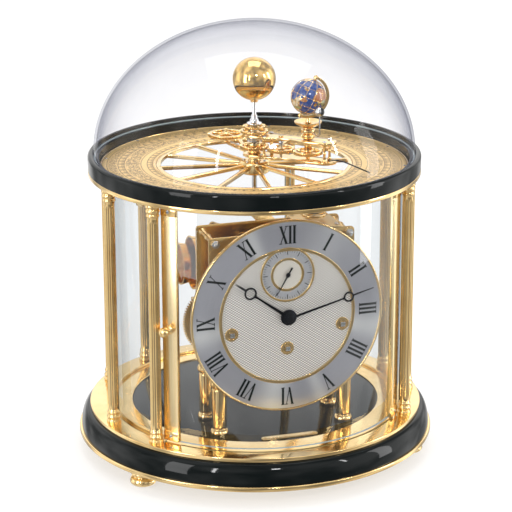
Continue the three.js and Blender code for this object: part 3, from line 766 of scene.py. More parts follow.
def spoked_gear(teeth, radius, bottom, top, depth=None, arms=5, hub=None, rim=None, bore=0):
    """A toothed wheel with curved-cornered arms."""
    depth = depth or 2.2 * radius / teeth
    hub = hub or radius * 0.24
    rim = rim or radius - depth - max(1.0, radius * 0.09)
    outlines = [toothed(teeth, radius, depth)]
    if arms:
        outlines += crossings(arms, hub, rim, max(0.9, radius * 0.09))
    if bore:
        outlines.append(circle(0, 0, bore))
    return flat(outlines, bottom, top, min(0.12, depth / 4))


def slab(x, y, z, bevel=0.4):
    """A block with softened edges from (low, high) along each axis."""
    form = bmesh.new()
    bmesh.ops.create_cube(form, size=1)
    size = Vector((x[1] - x[0], y[1] - y[0], z[1] - z[0])) * MM
    centre = Vector((x[1] + x[0], y[1] + y[0], z[1] + z[0])) / 2 * MM
    for vertex in form.verts:
        vertex.co = Vector(a * b for a, b in zip(vertex.co, size)) + centre
    bmesh.ops.bevel(form, geom=list(form.edges), offset=bevel * MM, segments=2, profile=0.5, affect="EDGES")
    return to_mesh(form)


def screw(name, at, body, radius=2.0, height=1.2, slot_turn=20, material=None):
    """A cheese-head screw with a cut slot, facing along the matrix's +Z."""
    half = radius * 0.17
    head = lathe(soften(section(0, radius, 0, height), radius * 0.22), 24)
    put(name, head, material or STEEL, body, at)
    groove = slab((-radius * 0.97, radius * 0.97), (-half, half), (height * 0.6, height + 0.03), 0.02)
    put(name + "_slot", groove, BLUED, body, at @ turn(slot_turn))


def bent_plate(inner, outer, start, end, bottom, top, steps, bevel=0.5):
    """A plate bent round the case between two angles, with softened edges."""
    outline = [tuple(on_circle(outer, start + (end - start) * i / steps))[:2] for i in range(steps + 1)]
    outline += [tuple(on_circle(inner, end + (start - end) * i / steps))[:2] for i in range(steps + 1)]
    return flat([outline], bottom, top, bevel)


# ---- base


def make_feet():
    height = FOOT_HEIGHT
    profile = soften([(0, 0), (7.4, 0), (9.6, 1.6), (10, 3.5), (9.2, 5.7), (7.4, 6.5), (7.4, 7.2), (8.7,
                     7.8), (9, 9.2), (8.4, 10.8), (6.9, 11.4), (6.9, height), (0, height)], 0.9, 3)
    for name in ("foot_right", "foot_left", "foot_back"):
        x, y, _ = middle(name)
        put(name + "_turned", lathe(profile, 48), BRASS, "case", shift(x, y, 0), (name,))


def make_base():
    low = span("base_trim", "z")[0]
    trim = [(0, low), (TRIM_RADIUS - 1.4, low), (TRIM_RADIUS - 1.4, low + 0.7), (TRIM_RADIUS, low + 1.1),
            (TRIM_RADIUS, TRIM_TOP - 0.5), (TRIM_RADIUS - 0.5, TRIM_TOP), (0, TRIM_TOP)]
    turned("base_trim_turned", trim, BRASS, replaces=("base_trim", ), soft=(0.4, 3), sides=160)

    swell = arc(CUSHION_RADIUS - PLATE_RADIUS, 0, 90, 15, PLATE_RADIUS, TRIM_TOP, CUSHION_TOP - TRIM_TOP)
    cushion = [(0, TRIM_TOP), (CUSHION_RADIUS, TRIM_TOP), *swell[1:-1], (PLATE_RADIUS - 1.2, CUSHION_TOP),
               (PLATE_INNER - 0.4, CUSHION_TOP), (0, CUSHION_TOP)]
    put("base_cushion_turned", lathe(cushion, 160), LACQUER, replaces=("base_cushion", ))

    plate = section(PLATE_INNER, PLATE_RADIUS, CUSHION_TOP, PLATE_TOP)
    turned("base_plate_turned", plate, BRASS, replaces=("base_plate", ), soft=(0.5, 3), sides=160)
    disc = section(0, PLATE_INNER - 0.3, CUSHION_TOP, FLOOR_TOP)
    turned("floor_disc_turned", disc, LACQUER, replaces=("floor_disc", ), soft=(0.4, 3), sides=128)


def make_name_plate():
    """A blank plate with round ends, held by two pins."""
    centre = middle("name_plate")
    length, half = 43, 3
    end = arc(half, -90, 90, 12, length / 2 - half)
    put("name_plate_blank", flat([end + [(-x, -y) for x, y in end]], FLOOR_TOP, FLOOR_TOP + 0.8, 0.25),
        SATIN_BRASS, "case", shift(centre.x, centre.y, 0), ("name_plate",))
    for side in (-1, 1):
        pin = lathe(soften([(0, 0), (0.8, 0), (0.6, 0.35), (0, 0.45)], 0.2), 16)
        at = shift(centre.x + side * (length / 2 - half), centre.y, FLOOR_TOP + 0.8)
        put(f"name_plate_pin_{'right' if side > 0 else 'left'}", pin, BRASS, at=at)


# ---- columns and glass


FLUTES, FLUTE_DEPTH = 16, 0.42


def fluted_shaft(radius, bottom, top):
    """A shaft with round-bottomed flutes that stop short of each end."""
    around = FLUTES * 6
    heights = [bottom, bottom + 1.2, bottom + 2.6, bottom + 4.0, top - 4.0, top - 2.6, top - 1.2, top]
    shares = [0, 0, 0.7, 1, 1, 0.7, 0, 0]
    form = bmesh.new()
    rows = []
    for height, share in zip(heights, shares):
        row = []
        for i in range(around):
            phase = (i % 6) / 6
            dip = max(0.0, sin(pi * phase * 6 / 5)) if phase * 6 < 5 else 0.0
            reach = radius - FLUTE_DEPTH * share * dip
            angle = 2 * pi * i / around
            row.append(form.verts.new((reach * MM * cos(angle), reach * MM * sin(angle), height * MM)))
        rows.append(row)
    for low, high in zip(rows, rows[1:]):
        for i in range(around):
            j = (i + 1) % around
            form.faces.new((low[i], low[j], high[j], high[i]))
    return to_mesh(form)


def make_columns():
    """Fluted shafts between a turned base and the same form upside down as capital."""
    height = DECK_BOTTOM - PLATE_TOP
    end = [(0, 0), (5.4, 0), (5.4, 1.6), (5.2, 2.0), (4.6, 2.3), (4.6, 3.0), (5.1, 3.6), (5.3, 4.6),
           (5.0, 5.6), (4.4, 6.2), (4.4, 7.0), (4.9, 7.6), (4.9, 8.4), (4.4, 9.0), (4.2, 10.2),
           (3.9, 10.6), (0, 10.6)]
    for label, angles in COLUMN_ANGLES.items():
        for i, angle in enumerate(angles, 1):
            name = f"column_{label}_{i}"
            at = shift(*on_circle(COLUMN_CIRCLE, angle, PLATE_TOP))
            put(name + "_shaft", fluted_shaft(4.1, 10.2, height - 10.2), BRASS, "case", at, (name,), 60)
            turned(name + "_base", end, BRASS, at=at, sides=40)
            capital = [(radius, height - z) for radius, z in end]
            turned(name + "_capital", capital, BRASS, at=at, sides=40)


def make_panels():
    bottom, top = span("glass_back", "z")
    for name, start, end in (("glass_right", 53, 148), ("glass_back", 150, 210), ("glass_left", 212, 307)):
        steps = round((end - start) / 2.5)
        put(name + "_pane", bent_plate(GLASS_INNER, GLASS_OUTER, start, end, bottom, top, steps, 0.35),
            CASE_GLASS, replaces=(name, ))
        for edge, place in (("near", start), ("far", end)):
            ground = bent_plate(GLASS_INNER + 0.15, GLASS_OUTER - 0.15, place - 0.12, place + 0.12,
                                bottom + 0.5, top - 0.5, 1, 0.05)
            put(f"{name}_{edge}_edge", ground, GLASS_EDGE)


def make_clips():
    """Brass clips under the deck hold the fixed panes, with a rail that seats them below."""
    for i, angle in enumerate((66, 94, 128, 165, 195, 232, 266, 294), 1):
        at = turn(angle) @ shift(0, -(GLASS_INNER - 1.5), DECK_BOTTOM - 4.2)
        put(f"glass_clip_{i}", slab((-3.5, 3.5), (-0.9, 0.9), (-3.6, 4.1), 0.35), BRASS, at=at)
        face = turn(angle) @ shift(0, -(GLASS_INNER - 2.2), DECK_BOTTOM - 4.6) @ turn(-90, "X")
        screw(f"glass_clip_screw_{i}", face, "case", 1.2, 0.6)
    put("glass_rail",
        bent_plate(GLASS_INNER - 2.4, GLASS_INNER - 0.3, 58, 302, PLATE_TOP, PLATE_TOP + 2.2, 96, 0.4),
        BRASS)


# ---- door


def make_door():
    half = HINGE_ANGLE - degrees(HINGE_WIDTH / 2 / GLASS_OUTER) - 0.15
    put("door_pane", bent_plate(GLASS_INNER, GLASS_OUTER, -half, half, DOOR_BOTTOM, DOOR_TOP, 44, 0.35),
        CASE_GLASS, "door", None, ("door_glass",))
    for label, height in (("lower", DOOR_BOTTOM), ("upper", DOOR_TOP)):
        ground = bent_plate(GLASS_INNER + 0.2, GLASS_OUTER - 0.2, -half, half,
                            height - 0.1, height + 0.1, 44, 0.05)
        put(f"door_{label}_edge", ground, GLASS_EDGE, "door")
    for name, angle, width, outer in (("door_hinge_stile", HINGE_ANGLE, HINGE_WIDTH, HINGE_OUTER),
                                      ("door_knob_stile", KNOB_ANGLE, KNOB_WIDTH, KNOB_OUTER)):
        depth = outer - STILE_INNER
        at = turn(angle) @ shift(0, -(STILE_INNER + outer) / 2, 0)
        put(name + "_strip",
            slab((-width / 2, width / 2), (-depth / 2, depth / 2), (DOOR_BOTTOM, DOOR_TOP), 0.4),
            SATIN_STILE, "door", at, (name,))
        for label, low in (("foot", DOOR_BOTTOM), ("head", DOOR_TOP - 7)):
            put(f"{name}_{label}",
                slab((-width / 2 - 0.1, width / 2 + 0.1), (-depth / 2 - 0.5, 0), (low, low + 7), 0.4),
                BRASS, "door", at)
            face = at @ shift(0, -depth / 2 - 0.45, low + 3.5) @ FACING
            screw(f"{name}_{label}_screw", face, "door", 1.3, 0.5)
    hinge = turn(HINGE_ANGLE) @ shift(0, -(STILE_INNER + HINGE_OUTER) / 2, 0)
    for label, low, high in (("lower", PLATE_TOP + 0.05, DOOR_BOTTOM),
                             ("upper", DOOR_TOP, DECK_BOTTOM - 0.05)):
        turned(f"door_pivot_{label}", section(0, 2.2, low, high), STEEL, "door", hinge, soft=(0.3, 3),
               sides=24)


def make_knob():
    profile = soften([(0, 0), (3.3, 0), (3.3, 0.9), (1.9, 1.6), (1.5, 3.4), (1.9, 4.4), (3.3, 5.4), (3.9,
                     7.2), (3.5, 9.0), (2.2, 10.2), (0, 10.6)], 0.7, 3)
    centre = middle("door_knob")
    at = turn(KNOB_ANGLE) @ shift(0, -KNOB_OUTER - 0.1, centre.z) @ FACING
    put("door_knob_turned", lathe(profile, 40), BRASS, "door", at, ("door_knob",))


# ---- deck, ring and dome


def make_deck():
    deck = section(101, DECK_RADIUS, DECK_BOTTOM, DECK_TOP)
    turned("top_plate_turned", deck, BRASS, replaces=("top_plate", ), soft=(0.5, 3), sides=160)
    outer = span("black_ring", "x")[1]
    rounding = 2.6
    ring = [(RING_INNER, DECK_TOP), (outer - 0.2, DECK_TOP),
            *arc(rounding, 0, 90, 6, outer - rounding, RING_TOP - rounding), (RING_REBATE + 0.2, RING_TOP),
            (RING_REBATE, RING_TOP - 0.3), (RING_REBATE, DOME_FOOT), (RING_INNER, DOME_FOOT)]
    put("black_ring_turned", lathe(ring, 160, True), LACQUER, replaces=("black_ring", ))


def make_calendar():
    plate = section(CALENDAR_INNER, CALENDAR_OUTER, DECK_TOP, CALENDAR_TOP)
    turned("calendar_plate_engraved", plate, CALENDAR_BRASS, replaces=("calendar_plate", ), soft=(0.35, 2),
           sides=192)
    for label, radius in (("inner", CALENDAR_INNER + 0.9), ("outer", CALENDAR_OUTER - 0.8)):
        bead = arc(0.55, 0, 360, 10, radius, CALENDAR_TOP, 0.4)[:-1]
        put(f"calendar_bead_{label}", lathe(bead, 160, True), BRASS)
    for i in range(12):
        at = shift(*on_circle(111.5, 7 + 30 * i, CALENDAR_TOP))
        screw(f"calendar_screw_{i + 1}", at, "case", 1.1, 0.5, 25 * i)


def make_spokes():
    bottom, top = 217.2, CALENDAR_TOP
    width, hub, rim = 2.8, 12, 69.6
    outlines = [circle(0, 0, CALENDAR_INNER - 0.3, 160, False)]
    outlines += crossings(12, hub - 0.5, rim, width, radians(22 - 90))
    outlines.append(circle(0, 0, 4.9, 40))
    put("spoke_wheel_cut", flat(outlines, bottom, top, 0.3), BRASS, replaces=("spoke_wheel", ))
    boss = [(4.9, bottom - 5), (9.5, bottom - 5), (11.6, bottom - 3.4), (11.6, top + 0.4),
            (10.2, top + 1.6), (4.9, top + 1.6)]
    turned("spoke_hub", boss, BRASS, soft=(0.5, 3), sides=64)
    for i in range(6):
        at = shift(*on_circle(7.8, 60 * i, top + 1.5))
        screw(f"spoke_hub_screw_{i + 1}", at, "case", 1.1, 0.5, 40 * i)


def make_dome():
    rise = DOME_TOP - RING_TOP
    inner = DOME_RADIUS - DOME_WALL
    outside = arc(DOME_RADIUS, 0, 90, 40, 0, RING_TOP, rise)[:-1]
    inside = arc(inner, 90, 0, 40, 0, RING_TOP, rise - DOME_WALL)[1:]
    profile = [(DOME_RADIUS, DOME_FOOT), *outside, (0, DOME_TOP), (0, DOME_TOP - DOME_WALL), *inside,
               (inner, DOME_FOOT)]
    put("dome_blown", lathe(profile, 160, True), DOME_GLASS, "dome", None, ("dome",), 60)
    lip = section(inner + 0.1, DOME_RADIUS - 0.1, DOME_FOOT, DOME_FOOT + 0.7)
    turned("dome_ground_edge", lip, GLASS_EDGE, "dome", soft=(0.2, 2), sides=160)


# ---- tellurium


ARM = "tellurium_arm"


def to_arm(x, y=0.0, z=0.0):
    """A place drawn along the arm, put where the arm points."""
    return turn(ARM_ANGLE - 90) @ shift(x, y, z)


def arm_outline():
    """Round at the hub and at the end, drawn in between the wheels' centres."""
    end, half, waist = 65, 8.5, 5.75
    side = [(12, half), (20, waist), (32, waist), (40, half)]
    return (arc(half, 90, 270, 14) + [(x, -y) for x, y in side]
            + arc(half, -90, 90, 14, end - half) + side[::-1])


def arm_gear(name, node, teeth, radius, hub, rim, bore, body, at=None):
    wheel = spoked_gear(teeth, radius, GEAR_Z, GEAR_Z + GEAR_THICKNESS, 1.0, 5, hub, rim, bore)
    put(name, wheel, BRASS, body, at, (node,))


def make_arm():
    for label, low, x, bore, sides in (("lower", ARM_LOWER, 0, 5.2, 32),
                                       ("upper", ARM_UPPER, EARTH_ORBIT, 3.4, 28)):
        sheet_cut = flat([arm_outline(), circle(x, 0, bore, sides)], low, low + ARM_SHEET, 0.25)
        put(f"arm_{label}_plate", sheet_cut, BRASS, ARM, to_arm(0), (f"arm_{label}",))
    put("arm_tail", slab((5, 40), (-2.4, 2.4), (ARM_LOWER, ARM_LOWER + ARM_SHEET), 0.3), BRASS, ARM,
        turn(TAIL_ANGLE - 90))
    for i, (x, y) in enumerate(((10.9, 6.8), (10.9, -6.8), (58, 5), (58, -5)), 1):
        low, high = ARM_LOWER + ARM_SHEET, ARM_UPPER
        middle_z = (low + high) / 2
        pillar = [(0, low), (1.5, low), (1.5, low + 1), (1.0, low + 1.8), (0.9, middle_z - 1),
                  (1.35, middle_z), (0.9, middle_z + 1), (1.0, high - 1.8), (1.5, high - 1), (1.5, high),
                  (0, high)]
        turned(f"arm_pillar_{i}", pillar, BRASS, ARM, to_arm(x, y), sides=24)
        screw(f"arm_screw_{i}", to_arm(x, y, ARM_UPPER + ARM_SHEET), ARM, 1.5, 0.8, 35 * i)
    screw("idler_bearing", to_arm(21.5, 0, ARM_UPPER + ARM_SHEET), ARM, 1.8, 0.7, 10, BRASS)


def make_counter_wheel():
    at = shift(COUNTER.x, COUNTER.y, 0)
    put("counter_wheel_cut", spoked_gear(48, 14, 230.6, 232.9, 1.2, 5, 3.4, 10.8, 1.2), BRASS, ARM, at,
        ("counter_wheel",))
    post = [(0, 225.6), (3.4, 225.6), (3.4, 227.4), (2.2, 228.6), (2.2, 230), (3.6, 230.6), (3.6, 233.2),
            (2.2, 234.2), (2.2, 235.6), (1.4, 236.6), (0, 237)]
    turned("counter_wheel_post", post, BRASS, ARM, at)


def make_centre():
    """The fixed wheels on the hub, the drive shaft inside them, and the sun on its rod."""
    arm_gear("sun_gear_lower", "sun_gear", 44, 10.85, 5.4, 8.8, 2.4, "case")
    pipe = [(2.3, 212.2), (4.6, 212.2), (4.6, 222), (4.2, 222.4), (4.2, 229.6), (5.6, 230.2),
            (5.6, 235.2), (2.3, 235.4)]
    turned("sun_gear_pipe", pipe, BRASS, sides=40)
    shaft = soften([(0, 186.4), (1.9, 186.4), (1.9, 236.4), (5.6, 236.6), (5.6, ARM_UPPER - 0.1), (0,
                   ARM_UPPER - 0.1)], 0.3, 2)
    put("drive_shaft_turned", lathe(shaft, 32), STEEL, ARM, None, ("drive_shaft",))
    for label, z, radius, teeth in (("lower", 243.2, 10.6, 40), ("upper", 246.6, 8.6, 32)):
        put(f"sun_wheel_{label}", spoked_gear(teeth, radius, z, z + 1.7, 0.9, 5, 4.2, radius - 2.2, 1.4),
            BRASS, ARM)
    base = ARM_UPPER + ARM_SHEET
    post = [(0, base), (6.2, base), (6.2, base + 0.9), (4.6, base + 1.3), (4.6, 249), (5.6, 249.6),
            (5.6, 250.4), (3.4, 251), (3.4, 252.6), (2.4, 253.8), (2.4, 256), (1.5, 256.8),
            (1.5, SUN_Z - SUN_RADIUS + 0.4), (0, SUN_Z - SUN_RADIUS + 0.4)]
    turned("sun_post_turned", post, SILVER, ARM, None, ("sun_post",), soft=(0.35, 2), sides=40)
    ball = ball_profile(SUN_RADIUS, SUN_Z, 40)
    put("sun_polished", lathe(ball, 80), SUN_GOLD, ARM, None, ("sun_ball",), 80)
    turned("sun_collar", [(1.4, 0), (2.6, 0), (3.0, 1.0), (2.4, 1.9), (1.4, 1.9)], BRASS, ARM,
           shift(0, 0, SUN_Z - SUN_RADIUS - 1.5))


def ball_profile(radius, z, steps):
    return [(radius * sin(pi * i / steps), z - radius * cos(pi * i / steps))
            for i in range(steps + 1)]


def make_idler():
    x, y, _ = middle("idler_gear")
    arm_gear("idler_wheel", "idler_gear", 42, 10.35, 2.8, 8.2, 0.8, "idler", shift(x, y, 0))
    low, high = ARM_LOWER + ARM_SHEET + 0.1, ARM_UPPER - 0.1
    arbor = [(0, low), (0.9, low), (0.9, low + 1), (1.8, low + 1.4), (1.8, high - 1.4), (0.9, high - 1),
             (0.9, high), (0, high)]
    turned("idler_arbor", arbor, STEEL, "idler", shift(x, y, 0), soft=(0.2, 2), sides=24)


def make_earth():
    at = shift(EARTH.x, EARTH.y, 0)
    arm_gear("earth_wheel", "earth_post", 44, 10.85, 3.4, 8.6, 1.0, "earth_carrier", at)
    low = ARM_LOWER + ARM_SHEET + 0.2
    post = [(0, low), (1.5, low), (1.5, GEAR_Z - 1), (2.7, GEAR_Z - 0.6), (2.7, 242.8), (4.7, 243.2),
            (4.7, 245.6), (3.1, 246.6), (3.1, 249.8), (4.4, 250.2), (4.4, 250.9), (3.6, 251.2),
            (6.4, 252.1), (9.8, 254.4), (10.3, 255.4), (9.9, 255.7), (6.4, 254.4), (3.6, 254.1),
            (2.0, 255.0), (1.5, 257.3), (0, 257.3)]
    turned("earth_post_turned", post, BRASS, "earth_carrier", at, sides=48)
    put("earth_knurled_nut", flat([toothed(28, 4.95, 0.45)], 243.4, 245.4, 0.08), BRASS, "earth_carrier",
        at)


def make_meridian():
    """A half ring with both pivots of the tilted axis, small thumb nuts and a stem down to the dish."""
    at = shift(*EARTH)
    reach = EARTH_RADIUS + 2
    south, north = -90 - EARTH_TILT, 90 - EARTH_TILT
    outline = arc(reach + 1.05, south, north, 32) + arc(reach - 1.05, north, south, 32)
    put("meridian_bow", moved(flat([outline], -1.15, 1.15, 0.3), turn(90, "X")), BRASS, "earth_carrier", at,
        ("meridian_ring",))
    tilted = turn(EARTH_TILT, "Y")
    for label, side in (("north", 1), ("south", -1)):
        pin = lathe(soften(section(0, 0.8, EARTH_RADIUS + 0.1, reach + 1.6),
                           0.15, 2), 16)
        boss = lathe(soften(section(0, 1.7, reach - 1.3, reach + 1.0), 0.3, 2), 20)
        way = Matrix.Identity(4) if side > 0 else turn(180, "X")
        put(f"meridian_pivot_{label}", joined(pin, boss), BRASS, "earth_carrier", at @ tilted @ way)
    turned("meridian_stem", [(0, -17.2), (1.6, -17.2), (1.2, -16.2), (1.2, -14.6), (0, -14.6)], BRASS,
           "earth_carrier", at, soft=(0.2, 2), sides=24)


def make_globe_ball():
    """The stone ball, with gold grid lines let into it."""
    at = shift(*EARTH) @ turn(EARTH_TILT, "Y")
    ball = lathe(ball_profile(EARTH_RADIUS, 0, 32), 64)
    put("globe_ball", ball, GLOBE_STONE, "globe", at, ("globe",), None, True)
    lines = []
    reach = EARTH_RADIUS - 0.02
    for i in range(6):
        ring = [(x, 0, z) for x, z in arc(reach, 0, 360, 64)[:-1]]
        lines.append(moved(wire(ring, 0.17, True, 1), turn(30 * i)))
    for latitude in (-60, -30, 0, 30, 60):
        around, height = reach * cos(radians(latitude)), reach * sin(radians(latitude))
        ring = [(x, y, height) for x, y in arc(around, 0, 360, 64)[:-1]]
        lines.append(wire(ring, 0.17, True, 1))
    put("globe_grid", joined(*lines), BRASS, "globe", at, (), None, True)


def make_moon_piece():
    turned("moon_collar", section(3.6, 5.3, 247.4, 249.6), BRASS, "moon", shift(EARTH.x, EARTH.y, 0),
           ("moon_arm",))
    out = Vector((MOON.x - EARTH.x, MOON.y - EARTH.y, 0))
    start = Vector((EARTH.x, EARTH.y, 248.4)) + out.normalized() * 5
    bend = Vector((MOON.x, MOON.y, 248.4))
    end = Vector((MOON.x, MOON.y, MOON.z - MOON_RADIUS + 0.3))
    path = [start, bend - out.normalized() * 3, bend - out.normalized() * 0.9 + Vector((0, 0, 0.3)),
            bend - out.normalized() * 0.2 + Vector((0, 0, 1.2)), bend + Vector((0, 0, 3)), end]
    put("moon_wire", wire([tuple(p) for p in path], 0.55), STEEL, "moon")
    put("moon_polished", lathe(ball_profile(MOON_RADIUS, 0, 24), 40), MOON_HALVES, "moon", shift(*MOON),
        ("moon_ball",), 80)


def make_pointer():
    """A black wire from the arm's end down to the calendar's day scale, ending in a flat tip."""
    points = [(59, 0, 227.9), (66, 0, 228.3), (72, 0, 227.6), (78, 0, 225.9), (84, 0, 224.0),
              (91.5, 0, 221.9)]
    path = [tuple(to_arm(*point).translation / MM) for point in points]
    put("calendar_pointer_wire", wire(path, 0.5), BLUED, ARM, None, ("calendar_pointer",))


# ---- movement


def sheet(name, y, holes, replaces):
    """An upright plate with holes, drawn in x and z."""
    half = SHEET_HALF_WIDTH
    outlines = [rectangle(0, (SHEET_TOP + SHEET_BOTTOM) / 2, 2 * half, SHEET_TOP - SHEET_BOTTOM, 3)]
    outlines += [circle(x, z, radius, 28) for x, z, radius in holes]
    plate = flat(outlines, -1, 1, 0.25)
    put(name, plate, PLATE_BRASS, "case", shift(0, y, 0) @ FACING, replaces)


def make_plates():
    arbors = [(b["x"], b["z"], 4.6) for b in BARRELS.values()]
    sheet("front_plate_cut", FRONT_SHEET, arbors + [(0, DIAL_Z, 3.4), (0, SECONDS_Z, 1.6)],
          ("movement_front_plate",))
    sheet("back_plate_cut", BACK_SHEET, [(0, 160, 6), (20, 100, 5), (-20, 100, 5)],
          ("movement_back_plate",))
    low, high = FRONT_SHEET + 1, BACK_SHEET - 1
    for i, (x, z) in enumerate(((50.5, 83), (-50.5, 83), (50.5, 181), (-50.5, 181)), 1):
        length = high - low
        pillar = [(0, 0), (2.9, 0), (2.9, 2.6), (2.0, 3.6), (2.0, length / 2 - 2), (2.7, length / 2),
                  (2.0, length / 2 + 2), (2.0, length - 3.6), (2.9, length - 2.6), (2.9, length),
                  (0, length)]
        at = shift(x, high, z) @ FACING
        turned(f"movement_pillar_{i}", pillar, BRASS, at=at, soft=(0.5, 2), sides=28)
        front = shift(x, FRONT_SHEET - 1, z) @ FACING
        turned(f"pillar_washer_{i}", section(0, 3.7, 0, 0.6), BRASS, at=front, soft=(0.2, 3))
        put(f"pillar_nut_{i}",
            flat([[(3.1 * cos(pi * k / 3), 3.1 * sin(pi * k / 3)) for k in range(6)]], 0.6, 3, 0.3), SILVER,
            at=front)
        turned(f"pillar_tip_{i}", [(0, 3), (1.6, 3), (1.6, 4.4), (0, 4.8)], SILVER, at=front, soft=(0.3, 3),
               sides=24)
        screw(f"pillar_screw_{i}", shift(x, BACK_SHEET + 1, z) @ turn(-90, "X"), "case", 3.2, 2.4, 30 * i,
              SILVER)
    put("drive_bracket", slab((-6, 6), (BACK_SHEET + 1, 5), (181.6, 185), 0.5), PLATE_BRASS)
    turned("drive_bearing", [(0, 182), (4.2, 182), (4.2, 185.8), (3.2, 186.2), (0, 186.2)], BRASS,
           soft=(0.4, 3))
    put("hammer_shelf", slab((-39, -9), (BACK_SHEET + 1, 41), (102, 105.6), 0.5), PLATE_BRASS)


def make_legs():
    low, high = FLOOR_TOP, SHEET_BOTTOM
    profile = [(0, low), (6.4, low), (6.7, low + 1.2), (6.7, low + 3), (6.0, low + 4.4), (5.0, low + 5.0),
               (5.0, low + 6), (5.4, low + 6.6), (5.4, high - 9), (4.8, high - 8.4), (4.8, high - 7.8),
               (6.2, high - 6.6), (6.6, high - 4.6), (6.2, high - 2.6), (5.0, high - 1.6), (5.0, high),
               (0, high)]
    for name in ("leg_front_left", "leg_front_right", "leg_back_left", "leg_back_right"):
        x, y, _ = middle(name)
        turned(name + "_turned", profile, BRASS, "case", shift(x, y, 0), (name,), soft=(0.5, 3), sides=40)


def make_barrels():
    for name, spec in BARRELS.items():
        at = shift(spec["x"], 0, spec["z"])
        body = f"{name}_barrel"
        put(f"{name}_great_wheel",
            moved(spoked_gear(84, spec["wheel"], -1, 1, 1.5, 0), shift(0, spec["wheel_y"], 0) @ FACING),
            BRASS, body, at, (body,))
        front, back = FRONT_SHEET + 8, BACK_SHEET - 5.2
        length = back - front
        drum = [(0, 0), (15.0, 0), (15.6, 0.6), (15.6, 1.6), (15.2, 1.9), (15.2, length - 1.9),
                (15.6, length - 1.6), (15.6, length - 0.6), (15.0, length), (0, length)]
        put(f"{name}_drum", moved(lathe(soften(drum, 0.3, 2), 72), shift(0, back, 0) @ FACING), WARM_BRASS,
            body, at)
        start = FRONT_SHEET - 6
        arbor = section(0, 3.1, 0, BACK_SHEET - 2.2 - start)
        put(f"{name}_arbor",
            moved(lathe(soften(arbor, 0.3, 2), 32), shift(0, BACK_SHEET - 2.2, 0) @ FACING), STEEL, body,
            at)
        put(f"{name}_square", slab((-1.7, 1.7), (FRONT_SHEET - 15.3, FRONT_SHEET - 5), (-1.7, 1.7), 0.3),
            STEEL, body, at)


TRAIN = (  # x, z, y, radius, teeth: wheels that the great wheels drive, between the plates
    (0, 123, -59, 14, 60), (-14, 146, -48, 11, 54), (9, 163, -55, 9.5, 48), (-33, 148, -58, 12, 56),
    (-40, 168, -50, 9, 48), (31, 149, -45, 12, 56), (40, 167, -58, 9, 48),
    (-22, 172, -42, 8, 42), (24, 172, -50, 7, 36),
)


def make_train():
    for i, (x, z, y, radius, teeth) in enumerate(TRAIN, 1):
        at = shift(x, 0, z)
        put(f"train_wheel_{i}",
            moved(spoked_gear(teeth, radius, -0.6, 0.6, None, 5), shift(0, y, 0) @ FACING), BRASS, at=at)
        length = BACK_SHEET - FRONT_SHEET - 2.2
        arbor = lathe(soften(section(0, 0.8, 0, length), 0.2, 2), 16)
        put(f"train_arbor_{i}", moved(arbor, shift(0, BACK_SHEET - 1.1, 0) @ FACING), STEEL, at=at)
        pinion = flat([toothed(8, 2.4, 0.9)], -3.5, 3.5, 0.1)
        pinion_y = y - 6 if y > -52 else y + 7
        put(f"train_pinion_{i}", moved(pinion, shift(0, pinion_y, 0) @ FACING), STEEL, at=at)


def make_back_work():
    """Ratchet wheels, clicks and bearing screws on the back plate."""
    face = BACK_SHEET + 1
    for name, spec in BARRELS.items():
        at = shift(spec["x"], face, spec["z"]) @ turn(-90, "X")
        put(f"{name}_ratchet", flat([toothed(30, 9.5, 1.2), circle(0, 0, 1.6)], 0.3, 1.9, 0.15), STEEL,
            at=at)
        turned(f"{name}_ratchet_boss", section(0, 3.4, 0.2, 3.0), BRASS, at=at, soft=(0.3, 3), sides=28)
        click = soften([(-2, -2), (2, -2), (2.4, 3), (6.2, 9.2), (5.2, 10), (-1.6, 4)], 0.8, 2, True)
        put(f"{name}_click", flat([click], 0.3, 1.7, 0.15), STEEL,
            at=at @ shift(10.4, 3.2, 0) @ turn(70))
        screw(f"{name}_click_screw", at @ shift(10.4, 3.2, 1.6), "case", 1.8, 0.9, 60)
    for i, (x, z, _, _, _) in enumerate(TRAIN, 1):
        for side, y, way in (("front", FRONT_SHEET - 1, 90), ("back", face, -90)):
            turned(f"{side}_bearing_{i}",
                   [(0, 0), (2.2, 0), (1.7, 0.5), (0.7, 0.5), (0.6, 0.15), (0, 0.15)], BRASS,
                   at=shift(x, y, z) @ turn(way, "X"), soft=(0.1, 2), sides=24)


